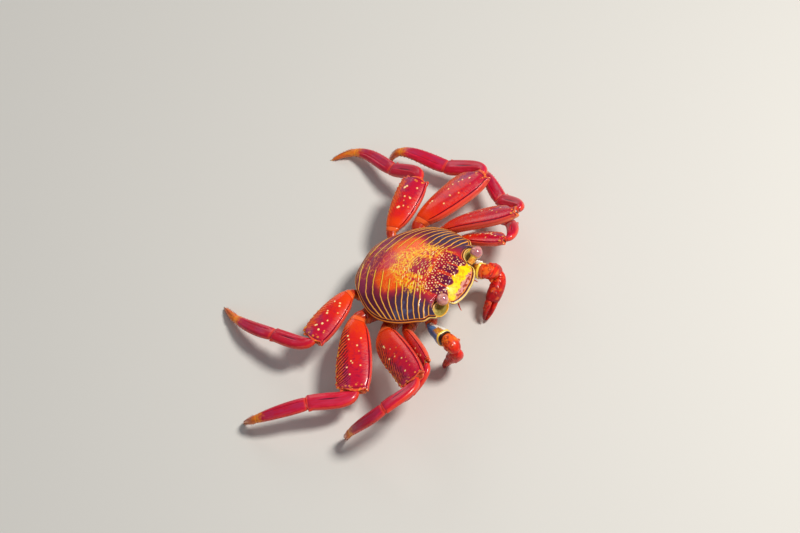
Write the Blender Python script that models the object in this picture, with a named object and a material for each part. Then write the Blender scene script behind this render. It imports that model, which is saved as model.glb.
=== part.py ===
"""A red rock crab, life-size, standing on its eight walking legs.

Lengths are in millimetres until a mesh is finished, and then in metres. The crab faces -Y,
its left side is at +X and +Z is up. The body parts are laid out in the body's own frame,
whose origin is the middle of the carapace at the height of its margin. The legs are laid out
from where they leave the body, segment by segment, down to feet that stand on the floor.
"""
import math

import bmesh
import bpy
from mathutils import Matrix, Vector

MM = 0.001
GAP = 0.3
HALF_GAP = GAP / 2

# How the body is carried: nose up, right side a little higher, and how high its margin is.
NOSE_UP = 9
LEAN_LEFT = 3
BODY_HEIGHT = 26.5

# Carapace, in the body's frame. The half outline runs from the middle of the front edge,
# past the orbit and the two side teeth, to the middle of the rear edge, as (x, y, z).
DOME_HEIGHT = 10.0
RIM_THICKNESS = 1.2
CARAPACE_FLOOR = -2.6
ORBIT_CENTRE = (18.8, -28.2, 2.6)
ORBIT_ROOM = (7.0, 5.2, 4.6)
EYE_RADIUS = 3.5
EYE_STALK = 1.7
# Where each eyestalk starts and the middle of its eyeball: the left eye is held further out.
EYE = {"l": ((14.6, -29.8, 0.2), (21.0, -31.8, 2.8)), "r": ((12.8, -29.4, -0.2), (15.6, -28.4, 3.8))}
# Four low lobes behind the brow: their height, how far back they stand, and their spread.
FRONT_LOBE = 1.1
LOBE_LINE = -27.5
LOBE_LENGTH = 3.2
LOBES_REACH = 15.0
HALF_OUTLINE = (
    (0.0, -35.6, -3.6), (3.6, -35.6, -3.5), (7.2, -35.0, -3.2), (10.4, -34.0, -2.8), (13.0, -32.4, -2.0),
    (14.0, -28.8, 0.6), (16.4, -25.8, 1.8), (20.2, -24.6, 2.2), (23.6, -25.4, 1.4), (25.8, -28.2, 0.0),
    (27.0, -24.6, 0.0), (29.8, -22.2, 0.0), (31.2, -17.6, 0.0), (33.2, -12.2, 0.0), (34.6, -6.4, 0.0),
    (35.0, -0.4, 0.0), (34.2, 6.0, 0.0), (31.6, 12.4, 0.2), (27.6, 18.2, 0.8), (22.6, 23.6, 1.6),
    (17.2, 28.2, 2.2), (12.0, 31.4, 2.2), (6.4, 32.8, 2.0), (0.0, 33.2, 1.8),
)
# The orbit is a notch in that outline, between these two points of it. Rings of the dome lose
# the notch inwards, so that it stays at the margin. They are given as shares of the outline.
ORBIT_FROM, ORBIT_TO = 4, 9
NOTCH_FADES = (0.78, 0.93)
DOME_RINGS = (0.965, 0.92, 0.86, 0.78, 0.67, 0.53, 0.37, 0.20)

# Thorax below the carapace: (height, half width, front y, rear y, squareness) of each level.
THORAX_TOP = CARAPACE_FLOOR - GAP
THORAX_LEVELS = (
    (THORAX_TOP, 28.0, -29.6, 27.0, 3.3), (-6.5, 27.2, -28.2, 26.4, 2.6), (-10.5, 23.6, -24.0, 23.0, 2.4),
    (-13.8, 17.5, -20.0, 18.0, 2.6), (-15.6, 12.0, -16.0, 14.0, 2.6),
)
THORAX_POINTS = 36
PLATE_THICKNESS = 1.6
ABDOMEN_HALF_WIDTHS = (10.5, 10.0, 9.0, 8.0, 6.6, 1.6)
MOUTH_SPAN = (0.25, 7.2)
MOUTH_TOP = -4.6
MOUTH_ORIGIN = (4.0, -26.0, -9.0)
# Feeler: how far out and how high it starts, the way it points, its length, and the radii of
# its base, of the start of its whip and of its tip.
FEELER_ROOT = (8.4, -4.4)
FEELER_WAY = (0.3, -0.5, -0.8)
FEELER_LENGTH = 7.0
FEELER_RADII = (1.1, 0.65, 0.3)

# Where each walking leg's merus starts, and the point inside the thorax that its coxa grows
# from, in the body's frame, with x outwards. Leg 1 is the foremost walking leg. The rear legs
# of the two sides start a little apart, because a crab swings its hips as it steps.
MERUS_BASE = {
    ("l", 1): (34.0, -10.0, -8.0), ("r", 1): (34.0, -10.0, -8.0), ("l", 2): (36.5, 2.0, -6.5),
    ("r", 2): (36.5, 2.0, -6.5), ("l", 3): (38.2, 16.6, -3.6), ("r", 3): (34.4, 20.0, -3.6),
    ("l", 4): (27.0, 28.6, -0.6), ("r", 4): (20.8, 30.8, -0.6),
}
COXA_ROOT = {1: (21.0, -7.0, -11.5), 2: (22.0, 2.0, -11.5), 3: (19.0, 13.5, -11.5), 4: (12.5, 20.5, -10.5)}
COXA_RADIUS = {1: 4.2, 2: 4.8, 3: 4.8, 4: 3.4}
ISCHIUM_LENGTH = 5.6
CLAW_ISCHIUM_LENGTH = 3.0

# Lengths of merus, carpus, propodus and dactyl, and the greatest widths of the first three.
LEG_LENGTHS = {1: (32.0, 16.5, 25.0, 14.0), 2: (48.5, 24.5, 29.5, 16.0), 3: (46.0, 27.5, 31.0, 16.3),
               4: (35.5, 26.8, 34.0, 16.3)}
LEG_WIDTHS = {1: (13.4, 7.0, 6.8), 2: (18.6, 8.8, 8.2), 3: (21.4, 9.8, 8.8), 4: (17.2, 8.6, 8.2)}
MERUS_FLATNESS = 0.32
# Bend of the knee, in degrees, from which the end of a merus and the start of its carpus
# narrow to clear each other, the bend at which they are narrowest, and the share of that way
# up to which the merus still has its rear tooth.
FOLD_FROM = 80
FOLD_TO = 127
OPEN_KNEE = 0.25
# How far the plane of an open and of a folded knee leans from the merus towards the carpus.
KNEE_LEAN = (0.1, 0.3)
CARPUS_FLATNESS = 0.56
PROPODUS_FLATNESS = 0.52

# The pose: heading and rise in degrees of each segment. A heading of 0 points straight out
# to the leg's own side, 90 to the rear. The dactyl's rise follows from its foot on the floor.
LEG_POSE = {
    ("l", 1): ((-83, 19), (16, -25), (74, -30), 77), ("r", 1): ((-49, 13), (14, -24), (77, -41), 24),
    ("l", 2): ((-66, 19), (56, -31), (48, -18), 55), ("r", 2): ((-49, 13), (21, 1), (64, -41), 107),
    ("l", 3): ((-28, 5), (81, -19), (86, -2), 98), ("r", 3): ((-22, -6), (52, 4), (62, -14), 93),
    ("l", 4): ((-3, 8), (69, -23), (72, -17), 116), ("r", 4): ((12, -1), (88, -11), (106, -19), 121),
}
# How far each merus is turned about its own length, towards its front edge being lower.
# How far the rear edge of a merus is already broad near its base.
MERUS_BROAD = {("r", 2): 0.8}
MERUS_TWIST = {("l", 1): 12, ("r", 1): -15, ("l", 2): -12, ("r", 2): 20,
               ("l", 3): -8, ("r", 3): 18, ("l", 4): 27, ("r", 4): 27}
FOOT_SUNK = 0.55

# Claw arms: where the merus starts on each side, lengths of merus, carpus, palm and finger,
# and the pose as above.
CLAW_BASE = {"l": (20.5, -23.0, -12.0), "r": (24.6, -20.0, -10.9)}
CLAW_ROOT = (13.0, -15.0, -12.0)
CLAW_COXA_RADIUS = 3.6
CLAW_CARPUS_RADIUS = 4.4
CLAW_LENGTHS = {"l": (15.0, 9.0, 16.0, 11.5), "r": (18.5, 8.8, 14.5, 11.0)}
CLAW_POSE = {
    "l": ((-109, 29), (-47, -39), (-175, -29), (-194, -43)),
    "r": ((-61, 20), (-59, -18), (113, -64), (74, -58)),
}

SHARP_ANGLE = 38
COLOURS = {
    "carapace": (0.42, 0.05, 0.05), "underside": (0.75, 0.55, 0.48), "abdomen": (0.72, 0.5, 0.42),
    "eye": (0.78, 0.45, 0.42), "antenna": (0.55, 0.16, 0.05), "maxilliped": (0.7, 0.35, 0.22),
    "ischium": (0.68, 0.09, 0.03), "merus": (0.7, 0.03, 0.04), "carpus": (0.62, 0.02, 0.06),
    "propodus": (0.6, 0.02, 0.07), "dactyl": (0.72, 0.2, 0.04), "claw_merus": (0.85, 0.72, 0.5),
    "claw_red": (0.75, 0.06, 0.02), "finger": (0.5, 0.01, 0.02),
}

# Cross sections as (front, up) shares. The front of a leg is the edge on the outside of its
# bend. A merus has a blunt front edge between two ridges and a sharper rear edge.
MERUS_SECTION = (
    (1.0, 0.0), (0.96, 0.45), (0.8, 0.84), (0.35, 1.0), (-0.25, 0.98), (-0.7, 0.7), (-1.0, 0.2),
    (-1.0, -0.2), (-0.7, -0.7), (-0.25, -0.98), (0.35, -1.0), (0.8, -0.84), (0.96, -0.45),
)


def round_section(points, squareness=2.4):
    section = []
    for step in range(points):
        angle = 2 * math.pi * step / points
        front = math.copysign(abs(math.cos(angle)) ** (2 / squareness), math.cos(angle))
        rise = math.copysign(abs(math.sin(angle)) ** (2 / squareness), math.sin(angle))
        section.append((front, rise))
    return tuple(section)


def mix(a, b, share):
    return a + (b - a) * share


def clear_scene():
    for item in list(bpy.data.objects):
        bpy.data.objects.remove(item, do_unlink=True)


def material(kind):
    made = bpy.data.materials.new(kind)
    made.use_nodes = True
    shader = made.node_tree.nodes["Principled BSDF"]
    shader.inputs["Base Color"].default_value = (*COLOURS[kind], 1.0)
    shader.inputs["Roughness"].default_value = 0.35
    shader.inputs["Metallic"].default_value = 0.0
    return made


def loft_mesh(rings):
    """Closed bmesh through rings of the same number of points, with a flat cap at each end."""
    bm = bmesh.new()
    rows = [[bm.verts.new(point) for point in ring] for ring in rings]
    count = len(rings[0])
    for low, high in zip(rows, rows[1:]):
        for step in range(count):
            after = (step + 1) % count
            bm.faces.new((low[step], low[after], high[after], high[step]))
    bm.faces.new(rows[0])
    bm.faces.new(rows[-1])
    bmesh.ops.recalc_face_normals(bm, faces=bm.faces)
    return bm


def add_object(name, bm, kind, origin=Vector()):
    """Finish a mesh laid out in millimetres: its object gets its origin there, in metres."""
    bmesh.ops.translate(bm, verts=bm.verts, vec=-origin)
    bmesh.ops.scale(bm, verts=bm.verts, vec=(MM, MM, MM))
    bmesh.ops.triangulate(bm, faces=bm.faces)
    mesh = bpy.data.meshes.new(name)
    bm.to_mesh(mesh)
    bm.free()
    made = bpy.data.objects.new(name, mesh)
    made.location = origin * MM
    bpy.context.scene.collection.objects.link(made)
    if kind:
        mesh.materials.append(material(kind))
    return made


def spine_mesh(root, direction, length, radius, sides=4, tip=0.0, sunk=0.35):
    """A tapered spine that stands on a surface point, its root sunk below it."""
    bm = bmesh.new()
    whole = length * (1 + sunk)
    bmesh.ops.create_cone(bm, cap_ends=True, segments=sides, radius1=radius * (1 + sunk),
                          radius2=tip, depth=whole)
    direction = direction.normalized()
    turn = direction.to_track_quat("Z", "Y").to_matrix().to_4x4()
    middle = root + direction * (whole / 2 - length * sunk)
    bmesh.ops.transform(bm, matrix=Matrix.Translation(middle) @ turn, verts=bm.verts)
    return bm


def knob_mesh(centre, radius, stretch=(1.0, 1.0, 1.0)):
    """A small rounded tubercle."""
    bm = bmesh.new()
    bmesh.ops.create_icosphere(bm, subdivisions=1, radius=radius)
    bmesh.ops.scale(bm, verts=bm.verts, vec=stretch)
    bmesh.ops.translate(bm, verts=bm.verts, vec=centre)
    return bm


def cut_ball(start, end, leave, arrive, radius):
    """A rounded knuckle between two joint planes."""
    bm = bmesh.new()
    bmesh.ops.create_uvsphere(bm, u_segments=14, v_segments=9, radius=radius)
    along = (end - start).normalized()
    stretch = ((end - start).length / 2 + radius * 0.45) / radius
    turn = along.to_track_quat("Z", "Y").to_matrix().to_4x4()
    bmesh.ops.scale(bm, verts=bm.verts, vec=(1, 1, stretch))
    bmesh.ops.transform(bm, matrix=Matrix.Translation((start + end) / 2) @ turn, verts=bm.verts)
    for spot, outward in ((start + leave * HALF_GAP, -leave), (end - arrive * HALF_GAP, arrive)):
        cut = bmesh.ops.bisect_plane(bm, geom=bm.verts[:] + bm.edges[:] + bm.faces[:], dist=1e-4,
                                     plane_co=spot, plane_no=outward, clear_outer=True)
        rim = [item for item in cut["geom_cut"] if isinstance(item, bmesh.types.BMEdge)]
        bmesh.ops.holes_fill(bm, edges=rim)
    bmesh.ops.recalc_face_normals(bm, faces=bm.faces)
    return bm


def fuse(base, pieces):
    """Join closed meshes to a base object with one union, and keep the largest closed surface."""
    if not pieces:
        return base
    group = bpy.data.collections.new(base.name + "_pieces")
    bpy.context.scene.collection.children.link(group)
    for step, bm in enumerate(pieces):
        piece = add_object(f"{base.name}_piece_{step}", bm, None)
        bpy.context.scene.collection.objects.unlink(piece)
        group.objects.link(piece)
    union = base.modifiers.new("Union", "BOOLEAN")
    union.operation = "UNION"
    union.operand_type = "COLLECTION"
    union.collection = group
    union.solver = "EXACT"
    bpy.context.view_layer.update()
    joined = bpy.data.meshes.new_from_object(base.evaluated_get(bpy.context.evaluated_depsgraph_get()))
    base.modifiers.clear()
    materials = list(base.data.materials)
    base.data = joined
    joined.materials.clear()
    for item in materials:
        joined.materials.append(item)
    for piece in list(group.objects):
        bpy.data.objects.remove(piece, do_unlink=True)
    bpy.data.collections.remove(group)
    keep_largest(joined)
    return base


def keep_largest(mesh):
    bm = bmesh.new()
    bm.from_mesh(mesh)
    bmesh.ops.triangulate(bm, faces=bm.faces)
    left = set(bm.faces)
    bodies = []
    while left:
        body = set()
        waiting = [left.pop()]
        while waiting:
            face = waiting.pop()
            body.add(face)
            for edge in face.edges:
                for other in edge.link_faces:
                    if other in left:
                        left.remove(other)
                        waiting.append(other)
        bodies.append(body)
    largest = max(bodies, key=lambda body: sum(face.calc_area() for face in body))
    dropped = [face for face in bm.faces if face not in largest]
    bmesh.ops.delete(bm, geom=dropped, context="FACES")
    loose = [vert for vert in bm.verts if not vert.link_faces]
    bmesh.ops.delete(bm, geom=loose, context="VERTS")
    bm.to_mesh(mesh)
    bm.free()


def cut_away(mesh_object, spot, outward):
    """Remove what lies beyond a plane, and close the cut with a flat."""
    bm = bmesh.new()
    bm.from_mesh(mesh_object.data)
    cut = bmesh.ops.bisect_plane(bm, geom=bm.verts[:] + bm.edges[:] + bm.faces[:], dist=1e-7,
                                 plane_co=spot * MM - mesh_object.location, plane_no=outward,
                                 clear_outer=True)
    rim = [item for item in cut["geom_cut"] if isinstance(item, bmesh.types.BMEdge)]
    bmesh.ops.holes_fill(bm, edges=rim)
    bmesh.ops.triangulate(bm, faces=bm.faces)
    bmesh.ops.recalc_face_normals(bm, faces=bm.faces)
    bm.to_mesh(mesh_object.data)
    bm.free()


BODY = (Matrix.Translation((0, 0, BODY_HEIGHT)) @ Matrix.Rotation(math.radians(-NOSE_UP), 4, "X")
        @ Matrix.Rotation(math.radians(LEAN_LEFT), 4, "Y"))
SIDE = {"l": 1, "r": -1}


def body_point(point, side="l"):
    return BODY @ Vector((point[0] * SIDE[side], point[1], point[2]))


def heading(side, degrees, rise):
    turn, lift = math.radians(degrees), math.radians(rise)
    flat = math.cos(lift)
    return Vector((SIDE[side] * flat * math.cos(turn), flat * math.sin(turn), math.sin(lift)))


class Limb:
    """One limb segment: a tapered tube along a curve from one joint plane to the next.

    Stations are (share of the length, rear half width, front half width, half thickness).
    """

    def __init__(self, side, start, end, leave, arrive, up, stations, section, bulge=(0.33, 0.33)):
        self.side = side
        length = (end - start).length
        self.leave, self.arrive = leave.normalized(), arrive.normalized()
        first = start + self.leave * HALF_GAP
        last = end - self.arrive * HALF_GAP
        self.handles = (first, first + self.leave * length * bulge[0],
                        last - self.arrive * length * bulge[1], last)
        self.up = up
        self.stations = stations
        self.section = section

    def frame(self, share):
        a, b, c, d = self.handles
        rest = 1 - share
        centre = a * rest ** 3 + b * 3 * rest ** 2 * share + c * 3 * rest * share ** 2 + d * share ** 3
        along = (b - a) * rest ** 2 + (c - b) * 2 * rest * share + (d - c) * share ** 2
        along.normalize()
        front = along.cross(self.up).normalized() * SIDE[self.side]
        rise = front.cross(along).normalized() * SIDE[self.side]
        return centre, along, front, rise

    def size(self, share):
        for low, high in zip(self.stations, self.stations[1:]):
            if share <= high[0]:
                part = (share - low[0]) / (high[0] - low[0])
                return [mix(a, b, part) for a, b in zip(low[1:], high[1:])]
        return list(self.stations[-1][1:])

    def point(self, share, front_share, rise_share):
        centre, _, front, rise = self.frame(share)
        rear_half, front_half, half_thickness = self.size(share)
        reach = front_half if front_share > 0 else rear_half
        return centre + front * (front_share * reach) + rise * (rise_share * half_thickness)

    def rings(self):
        return [[self.point(station[0], f, u) for f, u in self.section] for station in self.stations]

    def spine(self, share, front_share, rise_share, length, radius, forward=0.5, sides=4):
        """A spine on the surface, leaning along the limb by the share given."""
        centre, along, front, rise = self.frame(share)
        root = self.point(share, front_share, rise_share)
        outward = front * front_share + rise * rise_share
        return spine_mesh(root, outward.normalized() + along * forward, length, radius, sides)


def half_widths(width, flatness, rows):
    """Stations from shares of a segment's width: (along, rear, front, thickness)."""
    half = width / 2
    return [(along, half * rear, half * front, half * flatness * thick) for along, rear, front, thick in rows]


def leg_points(side, number):
    """The five joints of a walking leg, from the base of its merus to its foot."""
    points = [body_point(MERUS_BASE[side, number], side)]
    pose = LEG_POSE[side, number]
    for length, turn in zip(LEG_LENGTHS[number], pose[:3]):
        points.append(points[-1] + heading(side, *turn) * length)
    dactyl = LEG_LENGTHS[number][3]
    drop = points[-1].z + FOOT_SUNK
    points.append(points[-1] + heading(side, pose[3], -math.degrees(math.asin(drop / dactyl))) * dactyl)
    return points


def leg_up(points):
    """The direction square to the plane in which a leg bends, on its upper side."""
    up = (points[1] - points[0]).cross(points[3] - points[2]).normalized()
    return up if up.z > 0 else -up


def coxa_end(side, base, root):
    start, inside = body_point(base, side), body_point(root, side)
    length = CLAW_ISCHIUM_LENGTH if root == CLAW_ROOT else ISCHIUM_LENGTH
    return start + (inside - start).normalized() * length


def build_ischium(name, side, base, root, radius, merus_start, up, width, thickness):
    end = coxa_end(side, base, root)
    start = body_point(base, side)
    out = (start - body_point(root, side)).normalized()
    arrive = (out + merus_start).normalized()
    rows = [(0.0, radius, radius, radius), (0.35, radius * 0.9, radius * 0.9, radius * 0.9),
            (1.0, width, width, thickness)]
    limb = Limb(side, end, start, out, arrive, up, rows, round_section(10, 2.0))
    add_object(name, loft_mesh(limb.rings()), "ischium", end)
    return arrive


def build_leg(side, number):
    tag = f"leg_{side}{number}"
    points = leg_points(side, number)
    up = leg_up(points)
    along = [(b - a).normalized() for a, b in zip(points, points[1:])]
    merus_width, carpus_width, propodus_width = LEG_WIDTHS[number]
    bend = math.degrees(along[0].angle(along[1]))
    fold = min(max((bend - FOLD_FROM) / (FOLD_TO - FOLD_FROM), 0), 1)
    broad = MERUS_BROAD.get((side, number), 0)
    merus_rows = half_widths(merus_width, MERUS_FLATNESS, (
        (0.0, 0.36, 0.4, 0.85), (0.07, mix(0.43, 0.62, broad), 0.56, 0.92),
        (0.2, mix(0.56, 0.86, broad), 0.84, 1.0), (0.4, mix(0.76, 0.98, broad), 1.0, 1.0),
        (0.62, 0.95, 0.98, 1.0), (0.8, mix(1.0, 0.8, fold), 0.86, 0.96),
        (0.92, mix(0.93, 0.3, fold), 0.72, 0.88), (1.0, mix(0.7, 0.1, fold), 0.58, 0.78)))
    _, base_rear, base_front, base_thick = merus_rows[0]
    merus_start = build_ischium(tag + "_ischium", side, MERUS_BASE[side, number], COXA_ROOT[number],
                                COXA_RADIUS[number] - 0.4, along[0], up,
                                (base_rear + base_front) / 2, base_thick)
    lean = mix(*KNEE_LEAN, fold)
    knee = (along[0] * (1 - lean) + along[1] * lean).normalized()
    wrist = (along[1] + along[2]).normalized()
    ankle = (along[2] + along[3]).normalized()

    twist = Matrix.Rotation(math.radians(MERUS_TWIST[side, number]) * SIDE[side], 3, along[0])
    merus = Limb(side, points[0], points[1], merus_start, knee, twist @ up, merus_rows,
                 MERUS_SECTION, (0.3, 0.2))
    teeth = [merus.spine(0.93, 0.97, 0.3, 2.8, 1.3, 2.4), merus.spine(0.76, -1.0, 0.0, 1.3, 0.7, 0.8),
             merus.spine(0.86, -0.98, 0.0, 1.6, 0.8, 0.4)]
    if fold < OPEN_KNEE:
        teeth.append(merus.spine(0.95, -0.9, 0.1, 2.2, 0.9, 1.4))
    fuse(add_object(tag + "_merus", loft_mesh(merus.rings()), "merus", points[0]), teeth)

    carpus = Limb(side, points[1], points[2], knee, wrist, up, half_widths(
        carpus_width, CARPUS_FLATNESS, (
            (0.0, 0.42, mix(0.56, 0.46, fold), 0.72),
            (0.1, mix(0.62, 0.42, fold), mix(0.66, 0.48, fold), 0.86),
            (0.2, mix(0.76, 0.48, fold), mix(0.84, 0.56, fold), 0.98),
            (0.35, mix(0.92, 0.62, fold), mix(1.0, 0.76, fold), 1.03),
            (0.55, mix(1.02, 0.86, fold), mix(1.06, 0.96, fold), 1.04),
            (0.8, 1.02, 1.02, 1.0), (0.94, 0.98, 0.95, 0.95), (1.0, 0.88, 0.86, 0.85))),
        round_section(10), (mix(0.24, 0.28, fold), 0.3))
    teeth = [carpus.spine(0.9, 1.0, 0.0, 1.6, 0.8, 1.6)]
    fuse(add_object(tag + "_carpus", loft_mesh(carpus.rings()), "carpus", points[1]), teeth)

    propodus = Limb(side, points[2], points[3], wrist, ankle, up, half_widths(
        propodus_width, PROPODUS_FLATNESS, (
            (0.0, 0.88, 0.86, 0.88), (0.07, 0.98, 0.96, 0.98), (0.3, 1.0, 1.0, 1.0), (0.62, 0.88, 0.88, 0.94),
            (0.9, 0.68, 0.68, 0.86), (1.0, 0.6, 0.6, 0.78))),
        round_section(10))
    teeth = [propodus.spine(share, front, 0.15, 1.5, 0.6, 1.2, 3)
             for share in (0.3, 0.5, 0.7, 0.88) for front in (-0.96, 0.96)]
    fuse(add_object(tag + "_propodus", loft_mesh(propodus.rings()), "propodus", points[2]), teeth)

    dactyl = Limb(side, points[3], points[4], ankle, (along[3] + Vector((0, 0, -0.35))).normalized(), up,
                  half_widths(propodus_width * 0.6, 0.7, (
                      (0.0, 0.86, 0.86, 1.0), (0.15, 0.96, 0.96, 1.05), (0.45, 0.72, 0.72, 0.85),
                      (0.75, 0.46, 0.46, 0.6), (0.93, 0.24, 0.24, 0.34), (1.0, 0.16, 0.16, 0.24))),
                  round_section(8, 2.2))
    teeth = [dactyl.spine(share, front, rise, 1.3, 0.5, 1.3, 3)
             for share in (0.22, 0.42, 0.62) for front, rise in ((0.9, 0.5), (-0.9, 0.5), (0.1, 1.0))]
    made = fuse(add_object(tag + "_dactyl", loft_mesh(dactyl.rings()), "dactyl", points[3]), teeth)
    cut_away(made, Vector((0, 0, 0)), Vector((0, 0, -1)))


def claw_points(side):
    points = [body_point(CLAW_BASE[side], side)]
    for length, turn in zip(CLAW_LENGTHS[side], CLAW_POSE[side]):
        points.append(points[-1] + heading(side, *turn) * length)
    return points


def build_claw(side):
    tag = f"claw_{side}"
    points = claw_points(side)
    along = [(b - a).normalized() for a, b in zip(points, points[1:])]
    up = along[0].cross(along[2]).normalized()
    up = up if up.z > 0 else -up
    merus_start = build_ischium(tag + "_ischium", side, CLAW_BASE[side], CLAW_ROOT, CLAW_COXA_RADIUS - 0.4,
                                along[0], up, 2.7, 2.5)
    elbow = (along[0] * 0.7 + along[1] * 0.3).normalized()
    wrist = (along[1] + along[2]).normalized()
    knuckle = (along[2] + along[3]).normalized()

    rows = ((0.0, 2.7, 2.7, 2.5), (0.15, 3.2, 3.0, 2.8), (0.55, 3.9, 3.9, 3.4), (0.85, 4.4, 4.4, 3.9),
            (1.0, 4.1, 4.1, 3.6))
    merus = Limb(side, points[0], points[1], merus_start, elbow, up, rows, round_section(12, 2.6))
    teeth = [merus.spine(share, -0.97, 0.3, 1.6, 0.8, 0.8) for share in (0.42, 0.6, 0.78)]
    fuse(add_object(tag + "_merus", loft_mesh(merus.rings()), "claw_merus", points[0]), teeth)

    carpus = CLAW_CARPUS_RADIUS
    knuckle_mesh = cut_ball(points[1], points[2], elbow, wrist, carpus)
    middle = (points[1] + points[2]) / 2
    across = along[1].cross(up).normalized()
    knobs = []
    for slant in (-0.35, 0.1, 0.5):
        for turn in (20, 65, 110, 155):
            around = across * math.cos(math.radians(turn)) + up * math.sin(math.radians(turn))
            spot = middle + along[1] * slant * 4.0 + around * carpus * math.sqrt(1 - 0.55 * slant ** 2) * 0.97
            knobs.append(knob_mesh(spot, 0.8))
    inward = -Vector((SIDE[side], 0, 0)) + along[1] * 0.5
    knobs.append(spine_mesh(middle + inward.normalized() * carpus * 0.95, inward, 2.4, 1.0))
    made = fuse(add_object(tag + "_carpus", knuckle_mesh, "claw_red", points[1]), knobs)
    cut_away(made, points[1] + elbow * HALF_GAP, -elbow)
    cut_away(made, points[2] - wrist * HALF_GAP, wrist)

    build_hand(side, tag, points, along, wrist, knuckle, up)


def build_hand(side, tag, points, along, wrist, knuckle, up):
    """Palm with its fixed finger, and the movable finger above it."""
    rows = ((0.0, 2.8, 2.8, 2.8), (0.12, 3.5, 3.5, 3.3), (0.4, 3.9, 3.9, 4.1), (0.7, 3.8, 3.8, 4.4),
            (0.92, 3.4, 3.4, 4.2), (1.0, 3.0, 3.0, 3.7))
    palm = Limb(side, points[2], points[3], wrist, knuckle, up, rows, round_section(12, 2.3))
    _, _, front, rise = palm.frame(1.0)
    lower, upper = points[3] - rise * 2.1, points[3] + rise * 1.9
    tip_low, tip_high = points[4] - rise * 0.75, points[4] + rise * 0.75
    droop = (along[3] + rise * 0.4).normalized()
    rows = ((0.0, 2.3, 2.3, 1.75), (0.3, 2.2, 2.2, 1.6), (0.65, 1.7, 1.7, 1.25),
            (0.9, 1.3, 1.3, 0.9), (1.0, 1.0, 1.0, 0.55))
    fixed = Limb(side, lower - knuckle * 3.0, tip_low, knuckle, droop, up, rows, round_section(8, 2.2))
    knobs = [loft_mesh(fixed.rings())]
    knobs += [knob_mesh(palm.point(share, 0.96 * math.cos(angle), 0.96 * math.sin(angle)), 0.7)
              for share in (0.22, 0.42, 0.62, 0.82) for angle in (0.4, 1.3, 2.2)]
    fuse(add_object(tag + "_palm", loft_mesh(palm.rings()), "claw_red", points[2]), knobs)
    bend = (along[3] - rise * 0.4).normalized()
    movable = Limb(side, upper, tip_high, knuckle, bend, up, rows, round_section(8, 2.2))
    teeth = [knob_mesh(movable.point(share, 0.0, 0.9), 0.6) for share in (0.2, 0.45)]
    fuse(add_object(tag + "_finger", loft_mesh(movable.rings()), "finger", points[3]), teeth)


def mirrored(half):
    """A whole outline from its half: down the left side, and back up the right side."""
    right = [(-x, y, z) for x, y, z in reversed(half) if x > 0]
    return list(half) + right


def without_orbits(half):
    """The half outline with a straight line in place of the orbit's notch."""
    first, last = Vector(half[ORBIT_FROM]), Vector(half[ORBIT_TO])
    bridge = [tuple(first.lerp(last, (step - ORBIT_FROM) / (ORBIT_TO - ORBIT_FROM)))
              for step in range(ORBIT_FROM, ORBIT_TO + 1)]
    return half[:ORBIT_FROM] + tuple(bridge) + half[ORBIT_TO + 1:]


def dome_rise(share):
    return DOME_HEIGHT * (1 - share ** 2.5) ** 0.78


def front_lobes(x, y):
    """Four low lobes in a row across the carapace, just behind its sloping front."""
    if abs(x) > LOBES_REACH:
        return 0.0
    near = math.exp(-((y - LOBE_LINE) / LOBE_LENGTH) ** 2)
    wave = 0.5 - 0.5 * math.cos(4 * math.pi * x / LOBES_REACH)
    return FRONT_LOBE * near * wave


def build_carapace():
    outline = mirrored(HALF_OUTLINE)
    rings = []
    for share, level in ((0.90, CARAPACE_FLOOR), (0.975, None)):
        rings.append([(x * share, y * share, level if level is not None else z - RIM_THICKNESS)
                      for x, y, z in outline])
    rings.append(outline)
    bridged = mirrored(without_orbits(HALF_OUTLINE))
    for share in DOME_RINGS:
        edge = max(0.0, (share - 0.8) / 0.2)
        notch = min(max((share - NOTCH_FADES[0]) / (NOTCH_FADES[1] - NOTCH_FADES[0]), 0), 1)
        ring = []
        for plain, notched in zip(bridged, outline):
            x, y, z = (mix(a, b, notch) for a, b in zip(plain, notched))
            high = z * edge + dome_rise(share) + front_lobes(x * share, y * share)
            ring.append((x * share, y * share, high))
        rings.append(ring)
    bm = loft_mesh([[BODY @ Vector(point) for point in ring] for ring in rings])
    carve_orbits(add_object("carapace", bm, "carapace", body_point((0, 0, 0))))


def thorax_level(height, half_width, front, rear, squareness):
    middle, half_length = (front + rear) / 2, (rear - front) / 2
    return [BODY @ Vector((half_width * x, middle + half_length * y, height))
            for x, y in round_section(THORAX_POINTS, squareness)]


def coxa_mesh(side, base, root, radius):
    """The stub of the thorax that carries a leg, from inside the thorax to the leg's first joint."""
    inside, end = body_point(root, side), coxa_end(side, base, root)
    out = (end - inside).normalized()
    stub = Limb(side, inside, end, out, out, Vector((0, 0, 1)),
                [(0.0, radius, radius, radius), (1.0, radius, radius, radius)], round_section(10, 2.0))
    return loft_mesh(stub.rings())


def build_underside():
    stubs = []
    for side in SIDE:
        for number in COXA_ROOT:
            stubs.append(coxa_mesh(side, MERUS_BASE[side, number], COXA_ROOT[number], COXA_RADIUS[number]))
        stubs.append(coxa_mesh(side, CLAW_BASE[side], CLAW_ROOT, CLAW_COXA_RADIUS))
    levels = [thorax_level(*level) for level in THORAX_LEVELS]
    top = body_point((0, 0, THORAX_TOP))
    made = fuse(add_object("underside", loft_mesh(levels), "underside", top), stubs)
    cut_away(made, top, BODY.to_3x3() @ Vector((0, 0, 1)))


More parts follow.
